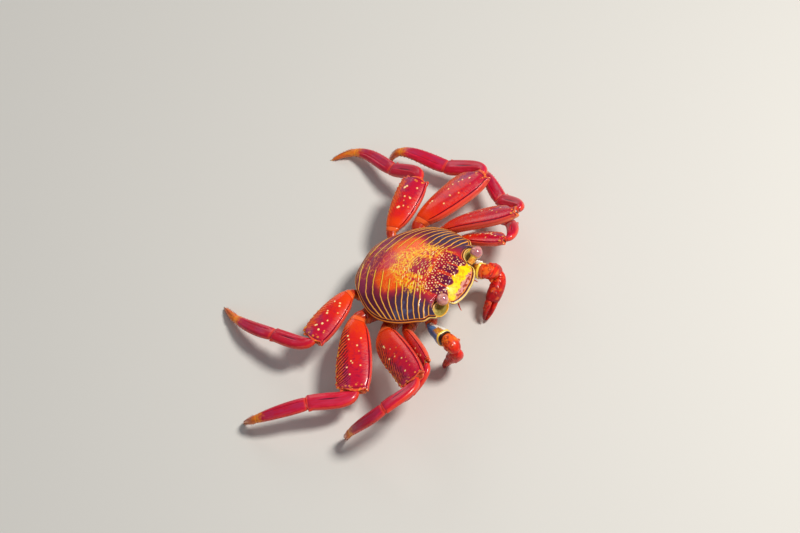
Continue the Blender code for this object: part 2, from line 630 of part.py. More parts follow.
def plate_rings(profile, spans, thickness):
    """Rings of a plate that follows the thorax's (y, z) profile, across each (low x, high x) span."""
    rings = []
    for step, ((y, z), (low, high)) in enumerate(zip(profile, spans)):
        before = Vector(profile[max(step - 1, 0)])
        after = Vector(profile[min(step + 1, len(profile) - 1)])
        run = (after - before).normalized()
        out = Vector((-run.y, run.x))
        out = out if out.dot(Vector((y, z + 6))) > 0 else -out
        near, far = GAP * 1.25, GAP * 1.25 + thickness
        inset = (high - low) * 0.2
        corners = ((low, near), (low + inset, far), (high - inset, far), (high, near))
        rings.append([BODY @ Vector((x, y + out.x * reach, z + out.y * reach)) for x, reach in corners])
    return rings


def build_abdomen():
    """The narrow tail, folded forwards under the thorax, over its rear and its floor."""
    profile = [(rear, height) for height, _, _, rear, _ in THORAX_LEVELS] + [(-6.0, THORAX_LEVELS[-1][0])]
    spans = [(-half, half) for half in ABDOMEN_HALF_WIDTHS]
    rings = plate_rings(profile, spans, PLATE_THICKNESS)
    add_object("abdomen", loft_mesh(rings), "abdomen", body_point((0, THORAX_LEVELS[-1][3], -16)))


def build_mouth(side):
    """One outer mouth plate, and the short feeler beside it, on the front of the thorax."""
    profile = [(front, height) for height, _, front, _, _ in THORAX_LEVELS[1:4]]
    profile.insert(0, (THORAX_LEVELS[1][2] - 0.5, MOUTH_TOP))
    spans = [(SIDE[side] * MOUTH_SPAN[0], SIDE[side] * MOUTH_SPAN[1])] * len(profile)
    rings = plate_rings(profile, spans, PLATE_THICKNESS)
    add_object(f"maxilliped_{side}", loft_mesh(rings), "maxilliped", body_point(MOUTH_ORIGIN, side))

    root = body_point((FEELER_ROOT[0], THORAX_LEVELS[0][2] - HALF_GAP, FEELER_ROOT[1]), side)
    out = BODY.to_3x3() @ Vector((SIDE[side] * FEELER_WAY[0], *FEELER_WAY[1:])).normalized()
    tip = root + out * FEELER_LENGTH
    base, whip, end = FEELER_RADII
    radii = ((0.0, base), (0.22, base), (0.3, whip), (1.0, end))
    rows = [(share, radius, radius, radius) for share, radius in radii]
    front = BODY.to_3x3() @ Vector((0, -1, 0))
    feeler = Limb(side, root, tip, front, out, Vector((0, 0, 1)), rows, round_section(8, 2.0))
    add_object(f"antenna_{side}", loft_mesh(feeler.rings()), "antenna", root)


def eye_rings(side, swell):
    """A short stalk and its ball, or with some swell the socket that they sit in."""
    root, centre = (body_point(point, side) for point in EYE[side])
    out = (centre - root).normalized()
    tip = centre + out * EYE_RADIUS * 1.12
    length = (tip - root).length
    rows = [(0.0, EYE_STALK)]
    rows += [((length - EYE_RADIUS * (1.12 + reach)) / length, EYE_RADIUS * size)
             for reach, size in ((0.95, 0.52), (0.7, 0.76), (0.35, 0.96), (0.0, 1.0), (-0.4, 0.93),
                                 (-0.75, 0.7), (-0.98, 0.42), (-1.12, 0.16))]
    rows = [(share, size + swell, size + swell, size + swell) for share, size in rows]
    stalk = Limb(side, root - out * swell, tip + out * swell, out, out, Vector((0, 0, 1)), rows,
                 round_section(12, 2.0))
    return stalk.rings()


def build_eye(side):
    add_object(f"eye_{side}", loft_mesh(eye_rings(side, 0.0)), "eye", body_point(EYE[side][1], side))


def carve_orbits(carapace):
    """Hollow the orbits out of the carapace: a socket for each eye, and room beside it."""
    for side in SIDE:
        room = bmesh.new()
        bmesh.ops.create_uvsphere(room, u_segments=12, v_segments=8, radius=1.0)
        bmesh.ops.scale(room, verts=room.verts, vec=ORBIT_ROOM)
        centre = Vector((ORBIT_CENTRE[0] * SIDE[side], *ORBIT_CENTRE[1:]))
        bmesh.ops.transform(room, matrix=BODY @ Matrix.Translation(centre), verts=room.verts)
        for step, bm in enumerate((loft_mesh(eye_rings(side, GAP * 1.2)), room)):
            cutter = add_object(f"orbit_{side}_{step}", bm, None)
            carve = carapace.modifiers.new("Orbit", "BOOLEAN")
            carve.operation = "DIFFERENCE"
            carve.object = cutter
            carve.solver = "EXACT"
            bpy.context.view_layer.update()
            graph = bpy.context.evaluated_depsgraph_get()
            carved = bpy.data.meshes.new_from_object(carapace.evaluated_get(graph))
            carapace.modifiers.clear()
            carapace.data = carved
            bpy.data.objects.remove(cutter, do_unlink=True)
    keep_largest(carapace.data)


def gather(name):
    """Shade every piece smooth, and hang all on one empty that puts the origin under their middle."""
    pieces = [item for item in bpy.data.objects if item.type == "MESH"]
    corners = [item.location + vert.co for item in pieces for vert in item.data.vertices]
    middle = []
    for axis in (0, 1):
        reach = [spot[axis] for spot in corners]
        middle.append((min(reach) + max(reach)) / 2)
    parent = bpy.data.objects.new(name, None)
    parent.location = (-middle[0], -middle[1], 0)
    bpy.context.scene.collection.objects.link(parent)
    for item in pieces:
        item.parent = parent
        item.data.shade_smooth()
        item.data.set_sharp_from_angle(angle=math.radians(SHARP_ANGLE))


def build_crab():
    clear_scene()
    build_carapace()
    build_underside()
    build_abdomen()
    for side in SIDE:
        build_eye(side)
        build_mouth(side)
        for number in COXA_ROOT:
            build_leg(side, number)
        build_claw(side)
    gather("crab")


build_crab()
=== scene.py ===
# %% [markdown]
# # A red rock crab, life-size
# The imported frame holds a plain solid for every piece of the crab, at its real size and in its
# real place. This notebook dresses each solid: a finely modelled piece takes its place, with a
# procedural finish. Loading the frame comes first, because every later piece is placed by it.
# %% Load the frame
import math
import random
from functools import cached_property

import bmesh
import bpy
import numpy as np
from mathutils import Matrix, Vector, kdtree


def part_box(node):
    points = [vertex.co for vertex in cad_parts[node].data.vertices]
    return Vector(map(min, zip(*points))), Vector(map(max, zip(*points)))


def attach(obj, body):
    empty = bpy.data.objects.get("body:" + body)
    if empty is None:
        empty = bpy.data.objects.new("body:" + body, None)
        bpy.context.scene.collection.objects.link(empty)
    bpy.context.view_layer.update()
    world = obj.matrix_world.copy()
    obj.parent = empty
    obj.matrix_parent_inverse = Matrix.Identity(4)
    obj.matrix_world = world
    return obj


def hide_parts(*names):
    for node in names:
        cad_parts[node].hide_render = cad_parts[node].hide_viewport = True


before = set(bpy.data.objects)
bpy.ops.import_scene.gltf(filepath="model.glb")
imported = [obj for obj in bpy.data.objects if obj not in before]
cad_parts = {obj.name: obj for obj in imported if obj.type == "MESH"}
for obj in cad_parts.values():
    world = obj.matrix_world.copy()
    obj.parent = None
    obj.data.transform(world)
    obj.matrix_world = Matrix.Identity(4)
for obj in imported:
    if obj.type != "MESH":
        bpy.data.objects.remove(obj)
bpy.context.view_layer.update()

# %% [markdown]
# ## The crab's own frame
# A crab is easiest to measure in millimetres, with the middle of its shell as the origin. The
# body is carried nose up and leaning a little to its left, so one matrix takes a point of the
# body into the standing crab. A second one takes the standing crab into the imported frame. It
# could be typed in, but it is measured here on the shell's own box, so that it stays true if
# the solids are ever packed again.
# %% The body's place
MM = 0.001
NOSE_UP = 9
LEAN_LEFT = 3
BODY_HEIGHT = 26.5
SIDE = {"l": 1, "r": -1}
BODY = (Matrix.Translation((0, 0, BODY_HEIGHT)) @ Matrix.Rotation(math.radians(-NOSE_UP), 4, "X")
        @ Matrix.Rotation(math.radians(LEAN_LEFT), 4, "Y"))
UP = Vector((0, 0, 1))

# The half outline of the shell from the middle of its front, past the orbit and the side
# teeth, to the middle of its rear, as (x, y, z). The orbit is a notch between two of its points.
HALF_OUTLINE = (
    (0.0, -35.6, -3.6), (3.6, -35.6, -3.5), (7.2, -35.0, -3.2), (10.4, -34.0, -2.8), (13.0, -32.4, -2.0),
    (14.0, -28.8, 0.6), (16.4, -25.8, 1.8), (20.2, -24.6, 2.2), (23.6, -25.4, 1.4), (25.8, -28.2, 0.0),
    (27.0, -24.6, 0.0), (29.8, -22.2, 0.0), (31.2, -17.6, 0.0), (33.2, -12.2, 0.0), (34.6, -6.4, 0.0),
    (35.0, -0.4, 0.0), (34.2, 6.0, 0.0), (31.6, 12.4, 0.2), (27.6, 18.2, 0.8), (22.6, 23.6, 1.6),
    (17.2, 28.2, 2.2), (12.0, 31.4, 2.2), (6.4, 32.8, 2.0), (0.0, 33.2, 1.8),
)
ORBIT_FROM, ORBIT_TO = 4, 9


def body_point(point, side="l"):
    return BODY @ Vector((point[0] * SIDE[side], point[1], point[2]))


def measured_shift():
    """From the standing crab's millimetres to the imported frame, by the middle of the shell's box."""
    outline = np.array([body_point(point, side) for point in HALF_OUTLINE for side in SIDE])
    middle = (outline.min(axis=0) + outline.max(axis=0)) / 2
    shift = np.mean(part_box("carapace"), axis=0) / MM - middle
    return Vector((shift[0], shift[1], 0))


SHIFT = measured_shift()
TO_FRAME = Matrix.Scale(MM, 4) @ Matrix.Translation(SHIFT)
print("the crab's own origin lies at", [round(value, 2) for value in SHIFT], "mm in the frame")

# %% [markdown]
# ## Camera
# The photograph was taken from the crab's right front and from above, from far enough away
# that the near legs look no bigger than the far ones. A long lens 2.5 m away gives that flat
# perspective. The camera's roll is kept too: the crab walks towards the lower right corner.
# %% Camera
CAMERA_PLACE = (-1153.8, -948.0, 2030.9)
CAMERA_TURN = (35.509, 10.524, -64.733)
CAMERA_LENS = 200.0
camera = bpy.data.objects.new("camera", bpy.data.cameras.new("camera"))
camera.data.lens = CAMERA_LENS
camera.data.clip_end = 20.0
camera.location = TO_FRAME @ Vector(CAMERA_PLACE)
camera.rotation_euler = [math.radians(turn) for turn in CAMERA_TURN]
bpy.context.scene.collection.objects.link(camera)
bpy.context.scene.camera = camera
print("camera at", [round(value, 3) for value in camera.location])

# %% [markdown]
# ## Light
# A shell's gloss only reads when something bright is mirrored in it, so the main light is a
# large soft panel, placed where the sun is in the photograph: high, and to the right of the
# camera. A weaker, cooler panel on the other side keeps the shadows open. The Standard view
# keeps strong reds pure, where a film-like view would turn them pink.
# %% Lights
# Each panel's direction, distance and width in metres, power in watts, and colour.
PANELS = {
    "key": (Vector((0.24, -0.56, 0.79)), 1.4, 0.34, 19.0, (1.0, 0.965, 0.91)),
    "fill": (Vector((-0.85, 0.15, 0.5)), 1.6, 1.0, 1.8, (0.8, 0.89, 1.0)),
    "rim": (Vector((0.62, 0.62, 0.48)), 1.5, 0.7, 2.2, (1.0, 0.98, 0.95)),
}
SKY = (0.93, 0.96, 1.0, 1.0)
SKY_STRENGTH = 0.2

for name, (direction, distance, width, power, colour) in PANELS.items():
    lamp = bpy.data.lights.new(name, "AREA")
    lamp.shape = "DISK"
    lamp.size = width
    lamp.energy = power
    lamp.color = colour
    panel = bpy.data.objects.new(name, lamp)
    panel.location = direction.normalized() * distance
    panel.rotation_euler = direction.to_track_quat("Z", "Y").to_euler()
    bpy.context.scene.collection.objects.link(panel)
world = bpy.data.worlds.new("studio")
world.use_nodes = True
world.node_tree.nodes["Background"].inputs["Color"].default_value = SKY
world.node_tree.nodes["Background"].inputs["Strength"].default_value = SKY_STRENGTH
bpy.context.scene.world = world
bpy.context.scene.view_settings.view_transform = "Standard"
bpy.context.scene.view_settings.look = "None"
print(len(PANELS), "panels and a soft sky")

# %% [markdown]
# ## A small kit for finishes
# Every finish here is a node tree that reads numbers painted on the mesh, such as how far a
# point lies from a ridge. The trees could be wired by hand in the editor. Two small classes
# keep them readable as code instead: a node's output can be added, multiplied and cut like a
# number, and each colour is laid over the ones before it, as a painter would.
# %% Finish
SKIN_DEPTH = 0.0012


def tint(code):
    """A screen colour such as c8102e as the linear colour that a shader takes."""
    parts = [int(code[step:step + 2], 16) / 255 for step in (0, 2, 4)]
    return (*(part / 12.92 if part < 0.04045 else ((part + 0.055) / 1.055) ** 2.4 for part in parts), 1.0)


class Mark:
    """One output of a finish's nodes: a number or a colour at every point of the piece."""

    def __init__(self, finish, socket):
        self.finish, self.socket = finish, socket

    def __add__(self, other):
        return self.finish.math("ADD", self, other)

    def __sub__(self, number):
        return self + -number

    def __rsub__(self, number):
        return self.finish.math("SUBTRACT", number, self)

    def __mul__(self, other):
        return self.finish.math("MULTIPLY", self, other)

    def __neg__(self):
        return self * -1.0

    def __abs__(self):
        return self.finish.math("ABSOLUTE", self)

    def step(self, low, high):
        """0 below low, 1 above high, and a smooth change between them."""
        ends = {"Value": self, "From Min": low, "From Max": high}
        return self.finish.node("MapRange", ends, "Result", interpolation_type="SMOOTHSTEP")

    def band(self, half, soft):
        """1 where a signed distance is within half of zero, with a soft edge."""
        return 1 - abs(self).step(half, half + soft)


class Finish:
    """A material under construction. Distances are in millimetres on the piece."""

    def __init__(self, name, roughness, coat=0.0, coat_roughness=0.12, subsurface=0.0, specular=0.5):
        self.material = bpy.data.materials.new(name)
        self.material.use_nodes = True
        self.tree = self.material.node_tree
        self.shader = self.tree.nodes["Principled BSDF"].inputs
        self.ground = None
        settings = {"Roughness": roughness, "Specular IOR Level": specular, "Coat Weight": coat,
                    "Coat Roughness": coat_roughness, "Subsurface Weight": subsurface,
                    "Subsurface Scale": SKIN_DEPTH}
        for socket, value in settings.items():
            self.feed(self.shader[socket], value)

    def feed(self, socket, value):
        """Link an output to a socket, or set the socket to a number or a screen colour."""
        if isinstance(value, Mark):
            self.tree.links.new(value.socket, socket)
        else:
            socket.default_value = tint(value) if isinstance(value, str) else value

    def node(self, kind, inputs, output, **settings):
        """Add a node, set it up, feed its inputs and give one of its outputs."""
        made = self.tree.nodes.new("ShaderNode" + kind)
        for name, setting in settings.items():
            setattr(made, name, setting)
        for name, value in inputs.items():
            self.feed(made.inputs[name], value)
        return Mark(self, made.outputs[output])

    def painted(self, name):
        """A number painted on the mesh."""
        return self.node("Attribute", {}, "Fac", attribute_name=name)

    @cached_property
    def place(self):
        """The place painted on the mesh, in millimetres."""
        return self.node("Attribute", {}, "Vector", attribute_name="place")

    def coordinate(self, axis):
        return self.node("SeparateXYZ", {0: self.place}, axis)

    def math(self, operation, first, second=0.0):
        return self.node("Math", {0: first, 1: second, 2: 0.0}, 0, operation=operation)

    def stretched(self, stretch):
        return self.node("Mapping", {"Scale": stretch, "Vector": self.place}, "Vector")

    def noise(self, scale, detail=3.0, stretch=(1, 1, 1)):
        """Soft noise about zero, from -0.5 to 0.5, that can be stretched along the piece."""
        looks = {"Vector": self.stretched(stretch), "Scale": scale, "Detail": detail}
        return self.math("SUBTRACT", self.node("TexNoise", looks, "Fac"), 0.5)

    def cells(self, scale):
        """Distance to the nearest of many scattered points."""
        looks = {"Vector": self.stretched((1, 1, 1)), "Scale": scale}
        return self.node("TexVoronoi", looks, "Distance")

    def mix(self, share, first, second):
        return self.node("Mix", {"Factor": share, "A": first, "B": second}, "Result", data_type="RGBA")

    def over(self, mask, colour):
        """Lay a colour over the ones before it, where the mask is 1."""
        self.ground = self.mix(mask, self.ground, colour)

    def done(self, height, strength, distance, roughness=None):
        """Connect the colours, a bump from a height, and a roughness that varies."""
        self.feed(self.shader["Base Color"], self.ground)
        if roughness:
            self.feed(self.shader["Roughness"], roughness)
        depth = {"Strength": strength, "Distance": distance * MM, "Height": height}
        self.feed(self.shader["Normal"], self.node("Bump", depth, "Normal"))
        return self.material


print("finish kit ready")

# %% [markdown]
# ## The shell's finish
# The shell of this crab is its signature: slate and purple flanks crossed by thin orange
# ridges, a glowing orange back, a network of yellow behind a dark maroon crown with cream
# granules, and a lemon yellow brow. A picture could be wrapped round it, but painted numbers
# and noise keep the markings sharp at any distance. The numbers say how far a point lies from
# the edge of each marking, and noise roughens that edge before it is cut.
# %% Shell finish
def shell_ground(finish, back, cloud, grain, fine):
    """The broad patches of colour that the shell's lines and granules lie on."""
    flank = finish.painted("flank") + grain * 6.0
    rough = grain * 5.0 + fine * 2.0
    finish.ground = finish.mix(grain.step(-0.08, 0.12), "c4202e", "e23a22")
    vivid = (finish.painted("vivid") + rough).step(-3.5, 1.2)
    finish.over(vivid, finish.mix(fine.step(-0.12, 0.12), "f6480a", "ff6a10"))
    finish.over((finish.painted("salmon") + rough).step(-1.5, 2.5), "d22c3a")
    finish.over(flank.step(-4.5, 0.5), "98243c")
    rearward = (back + grain * 14.0).step(-9.0, 5.0)
    finish.over(flank.step(-1.0, 4.5), finish.mix(rearward, "48344f", "611a36"))
    # painted sheen: soft steel blue blotches on the slate flanks
    steel_sheen = (cloud + grain * 0.5).step(0.03, 0.16) * flank.step(3.0, 8.0) * (1 - rearward)
    finish.over(steel_sheen * 0.75, "565a7c")
    finish.over((finish.painted("mauve") + rough).step(-2.5, 2.5) * 0.8, "8e2c50")
    olive = (back + rough).step(27.5, 31.5)
    finish.over(olive * 0.8, "b0602e")


def shell_back(finish, back, grain, fine):
    """Thin orange threads on the calm rear, and the glowing heart with its yellow lace."""
    blush = finish.noise(0.5, 4.0, (0.3, 1.6, 1.0)).step(0.03, 0.15)
    finish.over(blush * finish.painted("salmon").step(-4.0, 1.0) * 0.22, "f07a66")
    thread = 1 - abs(finish.noise(0.2, 1.6, (1.0, 1.5, 1.0))).step(0.014, 0.04)
    calm = (1 - finish.painted("flank").step(-6.0, 0.0)) * back.step(-8.0, 0.0)
    finish.over(thread * calm * 0.6, "f88a34")
    heart = finish.painted("heart")
    glow = (heart + (grain * 7.0 + fine)).step(-1.0, 2.2)
    finish.over(glow, finish.mix(grain.step(-0.06, 0.12), "ea5410", "fc9a12"))
    web = 1 - abs(finish.noise(0.4, 2.2, (1.0, 0.8, 1.0))).step(0.012, 0.045)
    finish.over((heart + grain * 5.0).step(-3.5, 0.5) * web, "fdd023")
    plum = finish.painted("basin").step(-1.0, 1.5) * (grain + 0.08).step(-0.08, 0.06)
    finish.over(plum, "a81a38")


def shell_front(finish, back, cloud, grain, fine):
    """The dark crown with its dashes and granules, and the lemon brow."""
    dusk = finish.mix(((back + 21.5) * 0.05 + grain).step(-0.14, 0.18), "660f3a", "a8162e")
    ember = (finish.painted("seam") + grain * 0.9).step(0.35, 0.9)
    crown = (finish.painted("crown") + fine * 1.8).step(-0.6, 0.5)
    finish.over(crown, finish.mix(ember * 0.8, dusk, "e2421c"))
    dash = (finish.painted("dash") + fine * 0.6).step(-0.1, 0.12)
    finish.over(1 - dash, finish.mix(cloud.step(-0.08, 0.1), "fdc23e", "f9e08e"))
    dot = finish.painted("dot") + fine * 0.2
    finish.over((1 - dot.step(0.0, 0.3)) * 0.5, "e4561e")
    finish.over(1 - dot.step(-0.1, 0.08), finish.mix(grain.step(-0.1, 0.1), "f7b45e", "fbe3ae"))
    brow = (finish.painted("brow") + (fine * 1.2 + grain * 1.5)).step(-0.3, 0.3)
    finish.over(brow, finish.mix(grain.step(-0.05, 0.15), "ffdc06", "ffae08"))
    rose = finish.mix(finish.noise(0.9, 3.0, (0.6, 1, 1)).step(-0.03, 0.05), "de9488", "a83c30")
    finish.over((finish.painted("blush") + grain * 4.5).step(-0.4, 0.6), rose)


def shell_lines(finish, back, fine):
    """The thin ridges with a painted shadow beside them, and the lines along the margin."""
    ridge, raised = finish.painted("ridge") + fine * 0.22, finish.painted("ridge_on")
    # painted shadow: a dark band beside each raised ridge
    finish.over((1 - ridge.step(0.34, 0.85)) * raised * 0.6, "3c0c1e")
    gold = finish.mix(finish.painted("flank").step(-5.0, 4.0), "ffc22c", "fdb04c")
    finish.over((1 - ridge.step(0.2, 0.42)) * raised, gold)
    rim = finish.painted("rim") + fine * 0.16
    finish.over((rim - 0.62).band(0.2, 0.14), "5c121e")
    finish.over((rim - 1.02).band(0.1, 0.12), "e88a30")
    front = (-back).step(16.0, 29.0)
    finish.over(1 - rim.step(0.22, 0.34), finish.mix(front, "f5932c", "f7d873"))
    finish.over(finish.painted("lip").step(0.02, 0.3), finish.mix(front, "8c3a22", "b49a86"))


def shell_finish():
    finish = Finish("shell", 0.3, coat=0.22, specular=0.25)
    back = finish.coordinate("Y")
    cloud, grain, fine = finish.noise(0.16), finish.noise(0.55), finish.noise(1.9)
    shell_ground(finish, back, cloud, grain, fine)
    shell_back(finish, back, grain, fine)
    shell_front(finish, back, cloud, grain, fine)
    shell_lines(finish, back, fine)
    striae = finish.noise(1.2, 2.0, (0.35, 2.2, 1.0))
    return finish.done(fine * 0.5 + striae * 0.25, 0.45, 0.14, grain * 0.14 + 0.29)


SHELL_FINISH = shell_finish()
print("shell finish has", len(SHELL_FINISH.node_tree.nodes), "nodes")

# %% [markdown]
# ## Small measures
# The same few sums come up on every piece: a smooth curve through a handful of values, a soft
# bell for ridges and grooves, and the step that turns a distance into a mask.
# %% Sums
def mix(first, second, share):
    return first + (second - first) * share


def bell(value, middle, width):
    """1 at the middle, falling softly to nothing a few widths away."""
    return np.exp(-((value - middle) / width) ** 2)


def ease(value, low, high):
    """0 below low, 1 above high, and a smooth change between them."""
    share = np.clip((value - low) / (high - low), 0, 1)
    return share * share * (3 - 2 * share)


def through(rows, share):
    """The values of a table of rows (share, value, value...) along a smooth curve through them."""
    last = len(rows) - 1
    step = next((step for step in range(last) if share <= rows[step + 1][0]), last - 1)
    low, high = rows[step], rows[step + 1]
    before, after = rows[max(step - 1, 0)], rows[min(step + 2, last)]
    width = high[0] - low[0]
    part = (share - low[0]) / width
    from_low, from_high = 2 * part ** 3 - 3 * part ** 2 + 1, 3 * part ** 2 - 2 * part ** 3
    leaving, arriving = part ** 3 - 2 * part ** 2 + part, part ** 3 - part ** 2
    values = []
    for item in range(1, len(low)):
        leave = (high[item] - before[item]) / (high[0] - before[0]) * width
        arrive = (after[item] - low[item]) / (after[0] - low[0]) * width
        values.append(from_low * low[item] + leaving * leave + from_high * high[item] + arriving * arrive)
    return values


print("halfway from 2 to 4 is", mix(2, 4, 0.5))

# %% [markdown]
# ## Putting a piece in place
# Each piece is modelled in millimetres in the standing crab's frame and moved into the packed
# frame at the very end, so that its object stays at the origin. The piece then rides on the
# frame's one body and hides the solid that it stands for.
# %% Finish a piece
SHARP_ANGLE = 62


def put(name, bm, finish, node=None):
    """Move a mesh into the frame as a piece, in the place of a solid if one is named."""
    bmesh.ops.transform(bm, matrix=TO_FRAME, verts=bm.verts)
    mesh = bpy.data.meshes.new(name)
    bm.to_mesh(mesh)
    bm.free()
    mesh.shade_smooth()
    mesh.set_sharp_from_angle(angle=math.radians(SHARP_ANGLE))
    mesh.materials.append(finish)
    piece = bpy.data.objects.new(name, mesh)
    bpy.context.scene.collection.objects.link(piece)
    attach(piece, "root")
    if node:
        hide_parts(node)
    print(f"{name}: {len(mesh.polygons)} faces")


def carry(bm):
    """Turn a closed mesh's faces outwards, and take it from the body's own place to the standing crab."""
    bmesh.ops.recalc_face_normals(bm, faces=bm.faces)
    bmesh.ops.transform(bm, matrix=BODY, verts=bm.verts)


def dress(node, bm, finish):
    """Put a piece in the place of the solid that it stands for."""
    put(node + "_dressed", bm, finish, node)


def paint_layers(bm, *names):
    """Number layers on the vertices of a mesh, by name."""
    return [bm.verts.layers.float.get(name) or bm.verts.layers.float.new(name) for name in names]


def place_layer(bm):
    """The layer that holds each vertex's place in millimetres, for the finishes."""
    return bm.verts.layers.float_vector.new("place")


# %% [markdown]
# ## The shell's plan
# Seen from above, the shell is a rounded shield with a notch for each eye. The few points of
# its half outline are joined by a smooth curve. Inside, the notch fades out, so the dome runs
# over it unbroken. A table of directions makes both outlines quick to look up.
# %% Shell outline
OUTLINE_STEPS = 24


def without_orbit(half):
    first, last = Vector(half[ORBIT_FROM]), Vector(half[ORBIT_TO])
    span = ORBIT_TO - ORBIT_FROM
    bridge = tuple(tuple(first.lerp(last, step / span)) for step in range(span + 1))
    return half[:ORBIT_FROM] + bridge + half[ORBIT_TO + 1:]


def smooth_outline(half):
    """Many points along a smooth curve through the half outline."""
    rows = [(step, *point) for step, point in enumerate(half)]
    count = (len(half) - 1) * OUTLINE_STEPS
    return np.array([through(rows, step / OUTLINE_STEPS) for step in range(count + 1)])


NOTCHED = smooth_outline(HALF_OUTLINE)
BRIDGED = smooth_outline(without_orbit(HALF_OUTLINE))
DIRECTIONS = np.maximum.accumulate(np.arctan2(BRIDGED[:, 0], -BRIDGED[:, 1]))
print("outline points", len(NOTCHED), "half width", round(NOTCHED[:, 0].max(), 1))

# %% [markdown]
# ## The dome
# The shell starts as one square grid. Pulled into a disc, it has no pole where lines would
# bunch up, so ridges stay even all over. Each point then moves out to the outline and up to
# the height of the dome. Four lobes stand in a row behind the brow, gentle behind and steep
# in front.
# %% Shell dome
SHELL_GRID = 296
DOME_HEIGHT = 10.0
EDGE_FROM = 0.8
NOTCH_FADES = (0.78, 0.93)
LOBE_WIDTH = 7.5
LOBES_REACH = 15.0
LOBE_CREST = -27.6
LOBE_HEIGHT = 0.85
LOBE_REAR, LOBE_FRONT = 4.6, 1.3


def disc_point(u, v):
    """A point of the square from -1 to 1 moved into the round disc."""
    return u * np.sqrt(1 - v * v / 2), v * np.sqrt(1 - u * u / 2)


def lobes(x, y):
    """Height of the four lobes behind the brow, gentle behind their crest and steep before it."""
    across = np.clip(1.06 - np.abs(x) / LOBES_REACH, 0, 1) ** 0.3
    wave = (0.5 - 0.5 * np.cos(2 * math.pi * x / LOBE_WIDTH)) ** 0.7
    fall = bell(y, LOBE_CREST, np.where(y > LOBE_CREST, LOBE_REAR, LOBE_FRONT))
    return LOBE_HEIGHT * fall * across * wave


def dome(u, v):
    """Places on the dome, and how many millimetres each lies from the margin."""
    dx, dy = disc_point(u, v)
    share = np.clip(np.hypot(dx, dy), 0, 1)
    angle = np.arctan2(np.abs(dx), -dy)
    side = np.sign(dx)
    notch = ease(share, *NOTCH_FADES)
    plain = [np.interp(angle, DIRECTIONS, BRIDGED[:, axis]) for axis in range(3)]
    cut = [np.interp(angle, DIRECTIONS, NOTCHED[:, axis]) for axis in range(3)]
    x, y, z = (mix(a, b, notch) for a, b in zip(plain, cut))
    edge = np.clip((share - EDGE_FROM) / (1 - EDGE_FROM), 0, 1)
    rim = (1 - share) * np.hypot(x, y)
    x, y = x * share * side, y * share
    z = z * edge + DOME_HEIGHT * np.clip(1 - share ** 2.5, 0, 1) ** 0.78 + lobes(x, y)
    return np.stack([x, y, z], 1), rim


crown_top = dome(np.zeros(1), np.zeros(1))[0][0, 2]
print("the crown of the dome is", round(float(crown_top), 1), "mm above the margin")

# %% [markdown]
# ## Ridges and markings
# The ridges sweep back from the margin towards the middle. They could be drawn one by one,
# but all follow one rule: each is named by where it crosses a line 20 mm from the middle, and
# bends forwards and outwards from there. That rule turned round gives, for any point, the
# ridge it lies nearest to and how far away that is. The markings are bands and bays whose
# edges are measured the same way.
# %% Shell markings
RIDGE_LINE = 20.0
RIDGES = (-22.6, -19.8, -16.8, -13.4, -9.6, -5.8, -1.8, 3.3, 8.6, 14.3, 19.5, 25.0)
RIDGE_INNER = (22.0, 17.0, 12.0, 11.0, 15.0, 14.0, 12.0, 10.5, 8.0, 5.0, 3.0, 2.0)
RIDGE_HEIGHT = 0.3
RIDGE_REACH = 14.0
FRONT_RIDGES = -8.37


def ridge_name(x, y):
    """Where the ridge through a point crosses the ridge line."""
    across = np.abs(x)
    outer = np.clip((across - RIDGE_LINE) / RIDGE_REACH, 0, None) ** 1.5
    bent = (y + 8.6 * outer) / (1 - 0.43 * np.clip(outer, 0, 1.6))
    bent = np.where(bent < FRONT_RIDGES, y + 5 * outer, bent)
    inner = y - 3.3 * (np.clip(RIDGE_LINE - across, 0, None) / 10) ** 0.9
    wander = 0.16 * np.sin(0.5 * across + 0.3 * y + 1.7 * np.sign(x)) + 0.07 * np.sin(1.3 * across - 0.8 * y)
    return np.where(across > RIDGE_LINE, bent, inner) + wander


def ridges(x, y):
    """Distance to the nearest ridge, and 1 where that ridge is raised."""
    tiny = 0.02
    name = ridge_name(x, y)
    slope = np.hypot(ridge_name(x + tiny, y) - name, ridge_name(x, y + tiny) - name) / tiny
    names = np.array(RIDGES)
    nearest = np.abs(name[:, None] - names[None, :]).argmin(1)
    distance = np.abs(name - names[nearest]) / np.clip(slope, 0.6, 3.0)
    inner = np.array(RIDGE_INNER)[nearest] + 1.5 * np.sin(nearest * 2.3 + np.sign(x))
    return distance, ease(np.abs(x), inner, inner + 2.0)


def inside_line(x, y, spots, radius):
    """Millimetres inside a band along a line of (x, y) spots."""
    best = np.full(len(x), 99.0)
    for (ax, ay), (bx, by) in zip(spots, spots[1:]):
        length = math.hypot(bx - ax, by - ay)
        share = np.clip(((x - ax) * (bx - ax) + (y - ay) * (by - ay)) / length ** 2, 0, 1)
        best = np.minimum(best, np.hypot(x - mix(ax, bx, share), y - mix(ay, by, share)))
    return radius - best


# Each band's (x, y) spots, and half its width.
HEART_BANDS = (
    (((13.5, -9.0), (11.0, -3.0), (8.0, 1.5), (4.5, 6.0)), 2.8), (((12.5, -20.0), (12.0, -12.0)), 0.8),
    (((0.4, -17.5), (1.2, -11.0)), 1.8), (((4.0, 0.0), (0.0, 4.0)), 2.2), (((7.5, -9.5), (7.0, -5.0)), 1.6),
)


